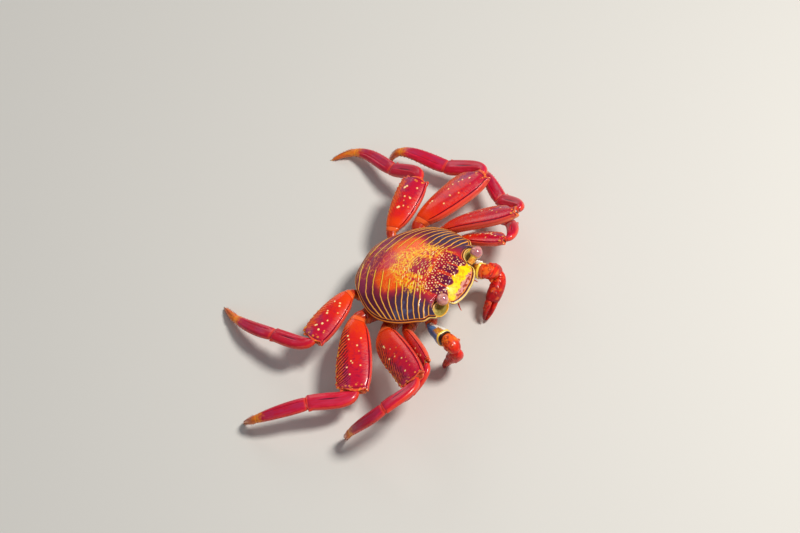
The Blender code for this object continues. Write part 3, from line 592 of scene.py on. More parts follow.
def markings(x, y):
    """Millimetres inside each marking, below zero outside it."""
    across = np.abs(x)
    flank_from = np.interp(y, (-24, -16, -8, 0, 6, 12, 18, 24, 32), (19, 18, 15, 21, 23, 20, 15.5, 15, 15))
    crown_front = -27.3 - 2.1 * (0.5 - 0.5 * np.cos(2 * math.pi * x / LOBE_WIDTH)) ** 0.6
    crown = np.minimum(np.minimum(y - crown_front, -16.0 - y), 14.2 - across)
    arc = np.abs(y + 1.6 + 0.06 * x * x) - 0.3
    return {
        "flank": across - flank_from,
        "vivid": (1 - np.hypot((across - 11.5) / 8.0, (y - 5.5) / 9.0)) * 8,
        "salmon": (1 - np.hypot(across / 7.5, (y - 14.5) / 8.0)) * 7,
        "mauve": np.minimum(y - 17.5, 22 - across),
        "heart": np.max([inside_line(across, y, spots, radius) for spots, radius in HEART_BANDS], axis=0),
        "basin": np.minimum(6.2 - across, np.minimum(y + 14, -2.8 - y)),
        "crown": crown,
        "arc": np.maximum(arc, (across - 5.6) * 0.5),
        "brow": np.where(across < 14.5, crown_front - y, -3.0),
        "blush": np.minimum(9.5 - across * 0.9, -32.2 - y),
        "seam": bell(across, 0.5, 0.7) * ease(-y, 17, 20) + bell(across, 7.5, 0.7) * ease(-y, 18, 22),
    }


print("ridges on each side:", len(RIDGES))

# %% [markdown]
# ## Granules and dashes
# The crown is dotted with pale granules about 2 mm apart, and behind it they stretch into
# dashes that run along the ridges. Real ones are neither random nor regular, so they sit on a
# staggered grid, each nudged by a seeded draw. A tree of their places finds the nearest one.
# %% Granules
GRANULE_SEED = 11


def granule_field(seed, xs, ys, keep, nudge):
    """A staggered grid of nudged places, each with a size between 0 and 1."""
    draw = random.Random(seed)
    half_step = (xs[1] - xs[0]) * 0.5
    made = []
    for row, y in enumerate(ys):
        for x in xs:
            spot = (x + half_step * (row % 2) + draw.uniform(-nudge, nudge), y + draw.uniform(-nudge, nudge))
            size = draw.random()
            if draw.random() < keep(*spot):
                made.append((*spot, size))
    return made


def nearest_granule(field, points, radius, grow, stretch=1.0):
    """Distance from the edge of the nearest granule. Below zero is inside it."""
    tree = kdtree.KDTree(len(field))
    for step, (x, y, _) in enumerate(field):
        tree.insert((x / stretch, y, 0), step)
    tree.balance()
    found = []
    for x, y in points:
        _, step, distance = tree.find((x / stretch, y, 0))
        found.append(distance - radius - grow * field[step][2])
    return np.array(found)


def crown_keep(x, y):
    inside = abs(x) < 13.5 and -28.2 < y < -13.5
    return 0.0 if not inside else (0.8 if y < -24 else 0.94)


def dash_keep(x, y):
    outside = abs(x) > 17.0 - max(0.0, y + 6) or y < -20
    return 0.0 if outside else (0.9 if y < -6 else 0.4)


DOTS = granule_field(GRANULE_SEED, np.arange(-14, 14.5, 1.75), np.arange(-28, -13, 1.45), crown_keep, 0.4)
DASHES = granule_field(GRANULE_SEED + 1, np.arange(-18, 18.5, 3.1), np.arange(-21, 4, 1.5), dash_keep, 0.5)
print(len(DOTS), "granules and", len(DASHES), "dashes")

# %% [markdown]
# ## Making the shell
# The grid is bent into the dome, painted with the distances, and raised along its ridges,
# granules and margin. Its open edge is then extruded down and under, as the real shell folds
# back beneath its margin. The layers go on before any point moves, because adding one later
# would drop the references to the points.
# %% Shell
GRANULE_HEIGHT = 0.16
BEAD_HEIGHT = 0.3
UNDER_FOLD = ((1.002, -0.55), (0.99, -1.1), (0.965, -1.35), (0.9, -2.6), (0.5, -2.6))
FOLD_FLAT_FROM = 3


def shell_numbers(points, rim):
    x, y = points[:, 0], points[:, 1]
    numbers = markings(x, y)
    numbers["ridge"], numbers["ridge_on"] = ridges(x, y)
    name = ridge_name(x, y)
    numbers["dot"] = nearest_granule(DOTS, np.stack([x, y], 1), 0.22, 0.26)
    numbers["dash"] = nearest_granule(DASHES, np.stack([x, name], 1), 0.16, 0.22, 3.4)
    numbers["dash"] = np.maximum(numbers["dash"], (numbers["crown"] - 2.5) * 0.4)
    numbers["dash"] = np.minimum(numbers["dash"], numbers.pop("arc"))
    numbers["ridge_on"] *= (1 - ease(numbers["crown"], -1.0, 0.0)) * ease(rim, 0.4, 1.0)
    numbers["rim"] = rim
    numbers["lip"] = np.zeros(len(x))
    return numbers


def shell_relief(numbers):
    """How far each point of the dome is raised."""
    high = RIDGE_HEIGHT * bell(numbers["ridge"], 0.0, 0.34) * numbers["ridge_on"]
    high += GRANULE_HEIGHT * (1 - ease(numbers["dot"], -0.3, 0.2)) * ease(numbers["crown"], -0.5, 0.5)
    high += GRANULE_HEIGHT * 0.7 * (1 - ease(numbers["dash"], -0.25, 0.2))
    high += BEAD_HEIGHT * (bell(numbers["rim"], 0.1, 0.28) - 0.6 * bell(numbers["rim"], 0.62, 0.22))
    high += BEAD_HEIGHT * 0.3 * bell(numbers["rim"], 1.02, 0.18)
    return high


def build_shell():
    bm = bmesh.new()
    bmesh.ops.create_grid(bm, x_segments=SHELL_GRID, y_segments=SHELL_GRID, size=1)
    layer = place_layer(bm)
    flat = np.array([vert.co[:2] for vert in bm.verts])
    points, rim = dome(np.clip(flat[:, 0], -1, 1), np.clip(flat[:, 1], -1, 1))
    numbers = shell_numbers(points, rim)
    layers = dict(zip(numbers, paint_layers(bm, *numbers)))
    bm.verts.ensure_lookup_table()
    for vert, point in zip(bm.verts, points):
        vert.co = vert[layer] = point
    for name, values in numbers.items():
        for vert, value in zip(bm.verts, values):
            vert[layers[name]] = value
    bm.normal_update()
    facing = [vert.normal.copy() for vert in bm.verts]
    for vert, normal, lift in zip(bm.verts, facing, shell_relief(numbers)):
        vert.co += normal * lift * (1 if normal.z > 0 else -1)
    fold_under(bm, layers["lip"])
    carry(bm)
    put("shell", bm, SHELL_FINISH, "carapace")


def fold_under(bm, lip):
    """Extrude the margin down and back under the shell, and close it."""
    edges = [edge for edge in bm.edges if edge.is_boundary]
    sources = {vert: vert.co.copy() for edge in edges for vert in edge.verts}
    for step, (scale, drop) in enumerate(UNDER_FOLD):
        edges, sources = next_ring(bm, edges, sources)
        for vert, origin in sources.items():
            height = drop if step >= FOLD_FLAT_FROM else origin.z + drop
            vert.co = (origin.x * scale, origin.y * scale, height)
            vert[lip] = 1.0
    close_ring(bm, edges, Vector((0, 0, UNDER_FOLD[-1][1])))


def next_ring(bm, edges, sources):
    """Extrude an open edge. Every new point takes over the source of the point it came from."""
    made = bmesh.ops.extrude_edge_only(bm, edges=edges)["geom"]
    edges = [item for item in made if isinstance(item, bmesh.types.BMEdge) and item.is_boundary]
    return edges, {vert: source_of(vert, sources) for edge in edges for vert in edge.verts}


def source_of(vert, sources):
    """The source of the point that an extruded point is joined to."""
    others = (edge.other_vert(vert) for edge in vert.link_edges)
    return next(sources[other] for other in others if other in sources)


def close_ring(bm, edges, place):
    """Close an open edge by drawing it together in one point."""
    ring = dict.fromkeys(vert for edge in edges for vert in edge.verts)
    bmesh.ops.pointmerge(bm, verts=list(ring), merge_co=place)


build_shell()

# %% [markdown]
# ## The upper legs' finish
# The flat upper legs run from orange red at the hip to magenta at the knee. A dark groove
# follows their front edge with a lighter rim outside it, and cream dots with an orange halo
# are scattered over them. Dark slanting lines mark the rear third of two right legs like a
# tiger's stripes. On the others they are faint, under a painted violet reflection of the sky
# on the far rear part. A pale pink painted highlight, broken by striae, lies along the front
# of the upper face. These marks all follow the limb, so they are drawn from the share of the
# way along it, the share across it, and the place in millimetres.
# %% Upper leg finish
STRIPE_EVERY = 1.75
STRIPE_SLANT = 0.75
STRIPE_WAVER = 1.7


def stripes(finish, rough):
    """Slanting lines across a limb, from -1 to 1, wavering with a noise."""
    run = finish.coordinate("X") + finish.coordinate("Y") * STRIPE_SLANT + rough * STRIPE_WAVER
    return finish.math("SINE", run * (2 * math.pi / STRIPE_EVERY))


def upper_leg_finish(name, striped, reflection_share):
    """Stripes and a painted violet reflection on the rear part, each as strong as its number says."""
    finish = Finish(name, 0.3, coat=0.34, coat_roughness=0.09, specular=0.2)
    along, front = finish.painted("along"), finish.painted("front")
    rear, top = -front, finish.painted("rise").step(-0.1, 0.25)
    cloud, grain, fine = finish.noise(0.13), finish.noise(0.55), finish.noise(2.4)
    turn = along + (cloud * 0.7 + grain * 0.25)
    finish.ground = finish.mix(turn.step(0.06, 0.42), "ee3e06", "e4221a")
    finish.over(turn.step(0.38, 0.74), "cc1236")
    finish.over(grain.step(0.03, 0.14) * along.step(0.2, 0.6) * 0.55, "a3093a")
    # painted reflection: a violet sheen of the sky on the far rear part of the blade
    painted_sheen = (rear + cloud).step(0.05, 0.4) * (along + cloud).step(0.55, 0.75) * (1 - rear.step(0.75, 0.95))
    finish.over(painted_sheen * reflection_share, "944070")

    flame = (rear + grain * 0.9).step(0.35, 0.75)
    finish.over(flame * (1 - along.step(0.78, 0.92)) * 0.8, "f0601c")
    tiger = stripes(finish, grain).step(-0.35, 0.2)
    where = (rear + grain * 0.6).step(0.16, 0.46) * along.step(0.14, 0.26) * (1 - along.step(0.86, 0.93))
    finish.over(tiger * where * striped, "4a061e")
    striae = finish.noise(1.9, 2.0, (1.0, 0.16, 1.0))
    finish.over(striae.step(0.02, 0.12) * along.step(0.2, 0.5) * 0.3, "9c0e34")
    # painted highlight: a pale pink glint along the front of the upper face, broken by the striae
    painted_highlight = (front.step(0.38, 0.66) * (1 - front.step(0.76, 0.82)) * along.step(0.26, 0.42)
             * (1 - along.step(0.8, 0.92)) * striae.step(-0.1, 0.04) * top)
    finish.over(painted_highlight * 0.22, "ff8c7c")

    finish.over(abs(front).step(0.915, 0.95) * 0.7, "f0563c")
    beads = rear.step(0.84, 0.93) * (1 - finish.cells(0.62).step(0.32, 0.46)) * along.step(0.14, 0.25)
    finish.over(beads, "fdb63e")
    end = along + fine * 0.02
    finish.over(end.step(0.958, 0.97) * 0.8, "f0602e")
    crumbs = end.step(0.86, 0.93) * (1 - finish.cells(0.5).step(0.26, 0.4))
    finish.over(crumbs * 0.8, "fca03a")
    finish.over(1 - end.step(0.055, 0.07), "f4622a")
    finish.over(finish.painted("furrow").step(0.25, 0.75), "5e0a20")
    finish.over((1 - top) * 0.5, "f0805c")
    dot = finish.painted("dot") + fine * 0.2
    finish.over((1 - dot.step(0.0, 0.34)) * 0.85, "f98c2e")
    finish.over(1 - dot.step(-0.1, 0.06), "ffe6ac")
    return finish.done(fine * 0.3 + (striae + grain * 0.5), 0.5, 0.2, grain * 0.14 + 0.27)


UPPER_LEG_FINISH = {"plain": upper_leg_finish("upper_leg", 0.22, 0.75),
                    "striped": upper_leg_finish("upper_leg_striped", 0.92, 0.35)}
print("upper leg finishes:", ", ".join(UPPER_LEG_FINISH))

# %% [markdown]
# ## Finishes of the slender parts
# Below the knee the legs are crimson, with a purple painted sheen on the broad upper facet, one
# thin dark line along it and orange edges, and each tip is orange horn. One function makes all
# of these, because they differ only in their colours and in how strong each mark is.
# %% Slender finishes
NO_TIP = (2.0, 3.0)
SLENDER_ROUGHNESS = 0.3


def slender_finish(name, base, painted_sheen, edge, tip, reach=NO_TIP, sheen_share=0.4):
    """Colours of the body, the painted sheen on the upper facet, the edges and the far end, and where that
    end starts.
    """
    finish = Finish(name, SLENDER_ROUGHNESS, coat=0.3, specular=0.3)
    along, front, rise = (finish.painted(layer) for layer in ("along", "front", "rise"))
    cloud, grain, fine = finish.noise(0.14), finish.noise(0.6), finish.noise(2.4)
    streak = finish.noise(0.6, 3.0, (0.3, 1.6, 1.0))
    finish.ground = finish.mix((streak + cloud).step(-0.05, 0.2), *base)
    # painted sheen: a purple reflection on the broad upper facet
    facet = (front + (streak * 0.9 - 0.25)).band(0.2, 0.4) * rise.step(0.1, 0.6)
    finish.over(facet * (cloud + streak * 0.7).step(-0.3, 0.25) * sheen_share, painted_sheen)
    finish.over((abs(front) + grain * 0.2).step(0.84, 0.97) * 0.75, edge)
    ends = (1 - along.step(0.015, 0.05)) + (along + fine * 0.03).step(0.965, 0.98)
    finish.over(ends * 0.7, edge)
    finish.over((along + grain * 0.3).step(*reach), tip)
    finish.over(finish.painted("furrow").step(0.3, 0.8), "4e0c26")
    finish.over((-rise).step(0.3, 0.85) * 0.4, "e0603c")
    roughness = grain * 0.12 + SLENDER_ROUGHNESS
    return finish.done(fine * 0.4 + (streak + grain * 0.4), 0.45, 0.2, roughness)


SHAFT_FINISH = slender_finish("lower_leg", ("cc102e", "da2040"), "9c3058", "ee4424", "f98a1e", sheen_share=0.42)
FOOT_FINISH = slender_finish("foot_joint", ("c80e30", "d41a42"), "8c2c5c", "ea402a", "fb8e1a",
                             (0.78, 0.98), 0.48)
TIP_FINISH = slender_finish("leg_tip", ("e0621a", "f08a24"), "b8481c", "ea7a24", "f2c47c", (0.88, 1.0), 0.3)
HIP_FINISH = slender_finish("hip", ("b82a0c", "e04212"), "8c2424", "f07a30", "f4a860")
print("slender finishes ready")

# %% [markdown]
# ## One limb
# Every leg and claw is a chain of tapered tubes. Each runs along a smooth curve that leaves
# one joint and arrives at the next, and its width and thickness follow a short table. The
# curve is a cubic one with four handles, because its ends can be set square to the planes in
# which the joints turn.
# %% Limb
HALF_GAP = 0.15
ROUND = (2, 2)


def full_row(share, *sizes):
    """A row with its rear and front half widths and its half thickness, even if it names fewer sizes."""
    return (share, *sizes) if len(sizes) == 3 else (share, sizes[0], sizes[0], sizes[-1])


class Limb:
    """One limb piece. The table's rows are (share, rear half width, front half width, half thickness)."""

    def __init__(self, side, start, end, leave, arrive, up, rows, bulge=(0.33, 0.33), square=(2.4, 2.4)):
        self.side = SIDE[side]
        self.leave, self.arrive = leave.normalized(), arrive.normalized()
        self.length = (end - start).length
        first, last = start + self.leave * HALF_GAP, end - self.arrive * HALF_GAP
        self.handles = (first, first + self.leave * self.length * bulge[0],
                        last - self.arrive * self.length * bulge[1], last)
        self.up = up
        self.rows = [full_row(*row) for row in rows]
        self.square = square

    def frame(self, share):
        a, b, c, d = self.handles
        rest = 1 - share
        centre = a * rest ** 3 + b * 3 * rest ** 2 * share + c * 3 * rest * share ** 2 + d * share ** 3
        along = ((b - a) * rest ** 2 + (c - b) * 2 * rest * share + (d - c) * share ** 2).normalized()
        front = along.cross(self.up).normalized() * self.side
        return centre, along, front, front.cross(along).normalized() * self.side

    def section(self, turn):
        """(front, rise) shares at an angle round the limb."""
        cosine, sine = math.cos(turn), math.sin(turn)
        power = 2 / (self.square[0] if cosine > 0 else self.square[1])
        return math.copysign(abs(cosine) ** power, cosine), math.copysign(abs(sine) ** power, sine)

    def point(self, share, front_share, rise_share):
        centre, _, front, rise = self.frame(share)
        rear_half, front_half, thick = through(self.rows, share)
        reach = front_half if front_share > 0 else rear_half
        return centre + front * (front_share * reach) + rise * (rise_share * thick)


# %% [markdown]
# ## Rolling a limb from a grid
# A tube could be extruded ring by ring. Here one flat grid is rolled up instead: one direction
# of the grid becomes the length, the other the way round, and the two long edges are welded.
# Its open ends are closed with a few shrinking rings. The finest detail, such as where a point
# lies along and across the limb, is painted on it while it is still a grid.
# %% Rolling a limb
START_CAP = ((0.86, 0.25), (0.5, 0.5))
END_CAP = ((0.84, 0.05), (0.74, -0.9), (0.4, -1.6))
ROUND_CAP = ((0.88, 0.3), (0.6, 0.62), (0.3, 0.75))
SLEEVE_CAP = ((0.5, 0.1),)
FLAT_CAP = ((0.94, 0.0), (0.6, 0.0), (0.25, 0.0))
WELD_DISTANCE = 0.001
FAR_FROM_DOTS = 9.0
SEED_STRIDE = 41.0


def roll(limb, rows, around, seed=0, start_cap=START_CAP, end_cap=END_CAP):
    """A closed mesh of a limb, with its numbers painted on it."""
    bm = bmesh.new()
    along, front_share, rise_share, _, dot = paint_layers(bm, "along", "front", "rise", "furrow", "dot")
    layer = place_layer(bm)
    bmesh.ops.create_grid(bm, x_segments=rows, y_segments=around, size=0.5)
    frames = {}
    for vert in bm.verts:
        share = min(max(vert.co.x + 0.5, 0), 1)
        key = round(share, 5)
        if key not in frames:
            frames[key] = (*limb.frame(share), through(limb.rows, share))
        centre, _, front, rise, (rear_half, front_half, thick) = frames[key]
        across, up = limb.section((vert.co.y + 0.5) * 2 * math.pi)
        width = front_half if across > 0 else rear_half
        vert[along], vert[front_share], vert[rise_share] = share, across, up
        vert[dot] = FAR_FROM_DOTS
        vert[layer] = Vector((share * limb.length + SEED_STRIDE * seed, across * width, up * thick))
        vert.co = centre + front * (across * width) + rise * (up * thick)
    bmesh.ops.remove_doubles(bm, verts=[vert for vert in bm.verts if vert.is_boundary], dist=WELD_DISTANCE)
    close_end(bm, along, True, start_cap, limb.handles[0], -limb.leave)
    close_end(bm, along, False, end_cap, limb.handles[3], limb.arrive)
    bmesh.ops.recalc_face_normals(bm, faces=bm.faces)
    bm.normal_update()
    return bm


def close_end(bm, along, low, caps, centre, outward):
    """Close one end with a few rings, each a share of the end's own ring, and a middle point."""
    edges = [edge for edge in bm.edges if edge.is_boundary and (edge.verts[0][along] < 0.5) == low]
    sources = {vert: vert.co - centre for edge in edges for vert in edge.verts}
    for scale, push in caps:
        edges, sources = next_ring(bm, edges, sources)
        for vert, reach in sources.items():
            vert.co = centre + reach * scale + outward * push
    close_ring(bm, edges, centre + outward * caps[-1][1])


print("a limb is closed with", len(START_CAP), "rings at its start and", len(END_CAP), "at its end")

# %% [markdown]
# ## Relief, teeth and spines
# A tooth of the shell is part of its plate, so the surface itself is pulled out into it. A
# knob is pulled the same way, only blunter. The sharp little spines of the feet are finer
# than the grid, so each is a small cone with its root sunk in the surface. Relief is a number
# worked out at each point and added along its normal, which is how the furrows are pressed in.
# %% Surface tools
def press(bm, relief):
    """Move each point along its normal by relief(along, front, rise), which also paints the furrow."""
    along, front, rise, furrow = paint_layers(bm, "along", "front", "rise", "furrow")
    facing = [vert.normal.copy() for vert in bm.verts]
    for vert, normal in zip(bm.verts, facing):
        lift, vert[furrow] = relief(vert[along], vert[front], vert[rise])
        vert.co += normal * lift
    bm.normal_update()


def pull(bm, spot, direction, length, radius, blunt=1.6):
    """Pull the surface near a spot out along a direction, into a tooth or a knob."""
    direction = direction.normalized()
    for vert in bm.verts:
        reach = (vert.co - spot).length
        if reach < radius:
            vert.co += direction * length * (1 - (reach / radius) ** blunt)


def spine(bm, root, direction, length, radius, dark):
    """A cone whose root is sunk in the surface. Its outer half is painted dark."""
    direction = direction.normalized()
    sunk = length * 0.3
    turn = direction.to_track_quat("Z", "Y").to_matrix().to_4x4()
    middle = root + direction * ((length * 1.3) / 2 - sunk)
    made = bmesh.ops.create_cone(bm, cap_ends=True, segments=6, radius1=radius, radius2=radius * 0.08,
                                 depth=length * 1.3, matrix=Matrix.Translation(middle) @ turn)["verts"]
    along, front, furrow, dot = paint_layers(bm, "along", "front", "furrow", "dot")
    for vert in made:
        far = (vert.co - root).dot(direction) > length * 0.5
        vert[along], vert[front], vert[dot] = 0.5, 0.0, FAR_FROM_DOTS
        vert[furrow] = dark if far else dark * 0.5


def join(bm, *others):
    """Add other closed meshes to this one."""
    for other in others:
        held = bpy.data.meshes.new("held")
        other.to_mesh(held)
        other.free()
        bm.from_mesh(held)
        bpy.data.meshes.remove(held)


def dotted(bm, limb, spots, height):
    """Paint the distance to the nearest cream dot, and raise each dot a little."""
    dot, rise = paint_layers(bm, "dot", "rise")
    for share, front, radius in spots:
        spot = limb.point(share, front, math.sqrt(max(0.0, 1 - abs(front) ** 2.4)) ** 0.8)
        for vert in bm.verts:
            reach = (vert.co - spot).length
            if reach < radius + 1.2 and vert[rise] > -0.2:
                vert[dot] = min(vert[dot], reach - radius)
                if reach < radius * 1.3:
                    vert.co += vert.normal * height * (1 - (reach / (radius * 1.3)) ** 2)


print("surface tools ready")

# %% [markdown]
# ## The walking legs' measures
# Each leg is a hip piece, a broad flat upper leg, a knee piece, a slender shaft and a spiny
# tip. The lengths, widths and the heading and rise of each piece are the driving sizes of the
# crab's pose, and they repeat the ones that the solids were built with, so that every dressed
# piece lies on its solid.
# %% Leg measures
MERUS_BASE = {
    ("l", 1): (34.0, -10.0, -8.0), ("r", 1): (34.0, -10.0, -8.0), ("l", 2): (36.5, 2.0, -6.5),
    ("r", 2): (36.5, 2.0, -6.5), ("l", 3): (38.2, 16.6, -3.6), ("r", 3): (34.4, 20.0, -3.6),
    ("l", 4): (27.0, 28.6, -0.6), ("r", 4): (20.8, 30.8, -0.6),
}
COXA_ROOT = {1: (21.0, -7.0, -11.5), 2: (22.0, 2.0, -11.5), 3: (19.0, 13.5, -11.5), 4: (12.5, 20.5, -10.5)}
COXA_RADIUS = {1: 4.2, 2: 4.8, 3: 4.8, 4: 3.4}
ISCHIUM_LENGTH = 5.6
ISCHIUM_SLIMMER = 0.4
CLAW_ISCHIUM_LENGTH = 3.0
LEG_LENGTHS = {1: (32.0, 16.5, 25.0, 14.0), 2: (48.5, 24.5, 29.5, 16.0), 3: (46.0, 27.5, 31.0, 16.3),
               4: (35.5, 26.8, 34.0, 16.3)}
LEG_WIDTHS = {1: (13.4, 7.0, 6.8), 2: (18.6, 8.8, 8.2), 3: (21.4, 9.8, 8.8), 4: (17.2, 8.6, 8.2)}
MERUS_FLATNESS = 0.32
CARPUS_FLATNESS = 0.56
PROPODUS_FLATNESS = 0.52
FOLD_FROM, FOLD_TO = 80, 127
OPEN_KNEE = 0.25
KNEE_LEAN = (0.1, 0.3)
LEG_POSE = {
    ("l", 1): ((-83, 19), (16, -25), (74, -30), 77), ("r", 1): ((-49, 13), (14, -24), (77, -41), 24),
    ("l", 2): ((-66, 19), (56, -31), (48, -18), 55), ("r", 2): ((-49, 13), (21, 1), (64, -41), 107),
    ("l", 3): ((-28, 5), (81, -19), (86, -2), 98), ("r", 3): ((-22, -6), (52, 4), (62, -14), 93),
    ("l", 4): ((-3, 8), (69, -23), (72, -17), 116), ("r", 4): ((12, -1), (88, -11), (106, -19), 121),
}
MERUS_BROAD = {("r", 2): 0.8}
MERUS_TWIST = {("l", 1): 12, ("r", 1): -15, ("l", 2): -12, ("r", 2): 20,
               ("l", 3): -8, ("r", 3): 18, ("l", 4): 27, ("r", 4): 27}
FOOT_SUNK = 0.55


def heading(side, degrees, rise):
    turn, lift = math.radians(degrees), math.radians(rise)
    level = math.cos(lift)
    return Vector((SIDE[side] * level * math.cos(turn), level * math.sin(turn), math.sin(lift)))


def chain(side, start, lengths, turns):
    """The joints of a limb, each a length further along its (heading, rise)."""
    points = [start]
    for length, turn in zip(lengths, turns):
        points.append(points[-1] + heading(side, *turn) * length)
    return points


def leg_points(side, number):
    """The five joints of a walking leg, from the base of its upper leg to its foot."""
    *turns, last = LEG_POSE[side, number]
    points = chain(side, body_point(MERUS_BASE[side, number], side), LEG_LENGTHS[number], turns)
    reach = LEG_LENGTHS[number][3]
    drop = points[-1].z + FOOT_SUNK
    points.append(points[-1] + heading(side, last, -math.degrees(math.asin(drop / reach))) * reach)
    return points


def directions(points):
    """The direction of each piece, and the upper side of the plane in which the limb bends."""
    along = [(b - a).normalized() for a, b in zip(points, points[1:])]
    up = along[0].cross(along[2]).normalized()
    return along, up if up.z > 0 else -up


def between(first, second, share=0.5):
    """The way a joint faces between the directions of two pieces."""
    return first.lerp(second, share).normalized()


def scaled(width, flatness, rows):
    half = width / 2
    return [(share, half * rear, half * front, half * flatness * thick)
            for share, rear, front, thick in (full_row(*row) for row in rows)]


def round_rows(radius, rows):
    """A table for a round limb, from rows of (share, share of its radius)."""
    return [(share, radius * size) for share, size in rows]


def coxa_end(side, base, root):
    """Where the leg's stub ends and its first movable piece starts."""
    start, inside = body_point(base, side), body_point(root, side)
    length = CLAW_ISCHIUM_LENGTH if root == CLAW_ROOT else ISCHIUM_LENGTH
    return start + (inside - start).normalized() * length


CLAW_BASE = {"l": (20.5, -23.0, -12.0), "r": (24.6, -20.0, -10.9)}
CLAW_ROOT = (13.0, -15.0, -12.0)
CLAW_COXA_RADIUS = 3.6
long_leg = leg_points("l", 3)
print("the longest leg reaches", round((long_leg[-1] - long_leg[0]).length, 1), "mm from its base")

# %% [markdown]
# ## The upper leg
# The merus is a blade with a flat face, a groove just inside its front edge, teeth at its
# knee end and faint slanting lines. Its far end is hollowed, as the knee turns inside it. It
# could be a stretched sphere, but the blade's outline and its pressed groove are what make
# these legs recognisable, so both come from the table and the relief.
# %% Upper leg
MERUS_DOTS = 13
STRIPED_LEGS = (("r", 2), ("r", 3))
RIM_GROOVE = 0.87
END_GROOVE = 0.95
ARCH_FROM = 0.88
END_ARCH = 2.6
END_MIDDLE = 0.4
DOT_HEIGHT = 0.1
DOT_SEED = 100


def merus_relief(along, front, rise):
    fade = ease(along, 0.05, 0.12) * (1 - ease(along, 0.92, 0.955))
    top = ease(rise, 0.0, 0.12)
    groove = bell(front, RIM_GROOVE, 0.028) * fade * top
    rear = bell(front, -0.9, 0.04) * fade * top
    below = bell(front, RIM_GROOVE, 0.05) * fade * (1 - top)
    swell = (0.3 * bell(front, 0.28, 0.42) - 0.14 * bell(front, -0.5, 0.22)) * fade * top
    ribs = 0.05 * math.sin(2 * math.pi * along * 34 + 3.4 * front) * ease(-front, 0.25, 0.6) * fade * top
    ring = bell(along, END_GROOVE, 0.012) * ease(front, -0.95, -0.7) * top
    cup = bell(along, 0.065, 0.014)
    high = swell + ribs - 0.5 * groove - 0.08 * rear - 0.15 * below - 0.25 * ring - 0.18 * cup
    return high, max(groove, ring * 0.6, cup * 0.5)


def round_end(bm, limb):
    """Push the middle of the far edge out over the knee, so that it ends in an arch."""
    along, front, rise = paint_layers(bm, "along", "front", "rise")
    _, run, _, _ = limb.frame(1.0)
    for vert in bm.verts:
        if vert[along] > ARCH_FROM:
            arch = END_ARCH * (END_MIDDLE - vert[front] ** 2)
            vert.co += run * arch * ease(vert[along], ARCH_FROM, 1.0) * ease(vert[rise], -0.2, 0.4)


def merus_spots(draw):
    """Places of the cream dots: a few scattered on the face, mostly in the middle of its length."""
    return [(draw.uniform(0.25, 0.8), draw.uniform(-0.5, 0.5), draw.uniform(0.4, 0.68))
            for _ in range(MERUS_DOTS)]


# Each tooth is (share along, front, rise, length, radius, how far it leans forwards).
KNEE_TEETH = [(0.94, 0.95, 0.3, 2.6, 1.7, 2.4), (0.97, 0.7, -0.5, 1.4, 1.2, 2.0)]
OPEN_KNEE_TEETH = [(0.97, -0.84, 0.2, 2.0, 1.5, 1.6), (0.9, -0.95, 0.1, 1.0, 1.0, 0.9),
                   (0.84, -0.98, 0.0, 0.9, 0.9, 0.7)]
REAR_TEETH = [(share, -1.0, 0.0, 0.55, 0.7, 0.5) for share in (0.5, 0.58, 0.66, 0.74)]


def build_merus(side, number, points, along, start, knee, up, fold, seed):
    """The upper leg. Broad ones are wider at the hip, and a folded knee narrows the far end's rear."""
    twist = Matrix.Rotation(math.radians(MERUS_TWIST[side, number]) * SIDE[side], 3, along[0])
    broad = MERUS_BROAD.get((side, number), 0)
    rows = scaled(LEG_WIDTHS[number][0], MERUS_FLATNESS, (
        (0.0, 0.36, 0.4, 0.85), (0.07, mix(0.43, 0.62, broad), 0.56, 0.92),
        (0.2, mix(0.56, 0.86, broad), 0.84, 1.0), (0.4, mix(0.76, 0.98, broad), 1.0, 1.0),
        (0.62, 0.95, 0.98, 1.0), (0.8, mix(1.0, 0.8, fold), 0.86, 0.96),
        (0.92, mix(0.93, 0.3, fold), 0.72, 0.88), (1.0, mix(0.7, 0.1, fold), 0.58, 0.78)))
    limb = Limb(side, points[0], points[1], start, knee, twist @ up, rows, (0.3, 0.2), (3.4, 2.1))
    bm = roll(limb, 128, 112, seed)
    press(bm, merus_relief)
    round_end(bm, limb)
    dotted(bm, limb, merus_spots(random.Random(DOT_SEED + seed)), DOT_HEIGHT)
    teeth = KNEE_TEETH + (OPEN_KNEE_TEETH if fold < OPEN_KNEE else []) + REAR_TEETH
    for share, front, rise, length, radius, forward in teeth:
        _, run, ahead, lift = limb.frame(share)
        outward = (ahead * front + lift * rise * 0.5).normalized()
        pull(bm, limb.point(share, front, rise), outward + run * forward, length, radius)
    look = UPPER_LEG_FINISH["striped" if (side, number) in STRIPED_LEGS else "plain"]
    dress(f"leg_{side}{number}_merus", bm, look)


print("each upper leg has", MERUS_DOTS, "cream dots")

# %% [markdown]
# ## Below the knee
# The carpus and propodus are slender, with one rounded keel and a broad shallow facet on the
# upper face, and a thin dark furrow between the two. The dactyl is a curved horn tip with rows
# of spines, which grip wet rock. The spines are cones, in rows that lean towards the tip.
# %% Lower leg
def slender_relief(start, end, slant, keels, facet, furrow, ring, heights, dark):
    """Relief of a slender piece: keels, a hollow facet, a furrow and a ring near the far end.

    Each of these is a (middle, width). The keels and the furrow slant forwards along the piece.
    The heights and how dark the last two are painted go in the same order.
    """
    def relief(along, front, rise):
        face = ease(along, *start) * (1 - ease(along, *end)) * ease(rise, 0.0, 0.3)
        slanted = front - slant * along
        keel = sum(bell(slanted, *place) for place in keels) * face
        hollow = bell(front, *facet) * face
        line = bell(slanted, *furrow) * face
        turn = bell(along, *ring)
        high = heights[0] * keel - heights[1] * hollow - heights[2] * line - heights[3] * turn
        return high, max(line * dark[0], turn * dark[1])

    return relief


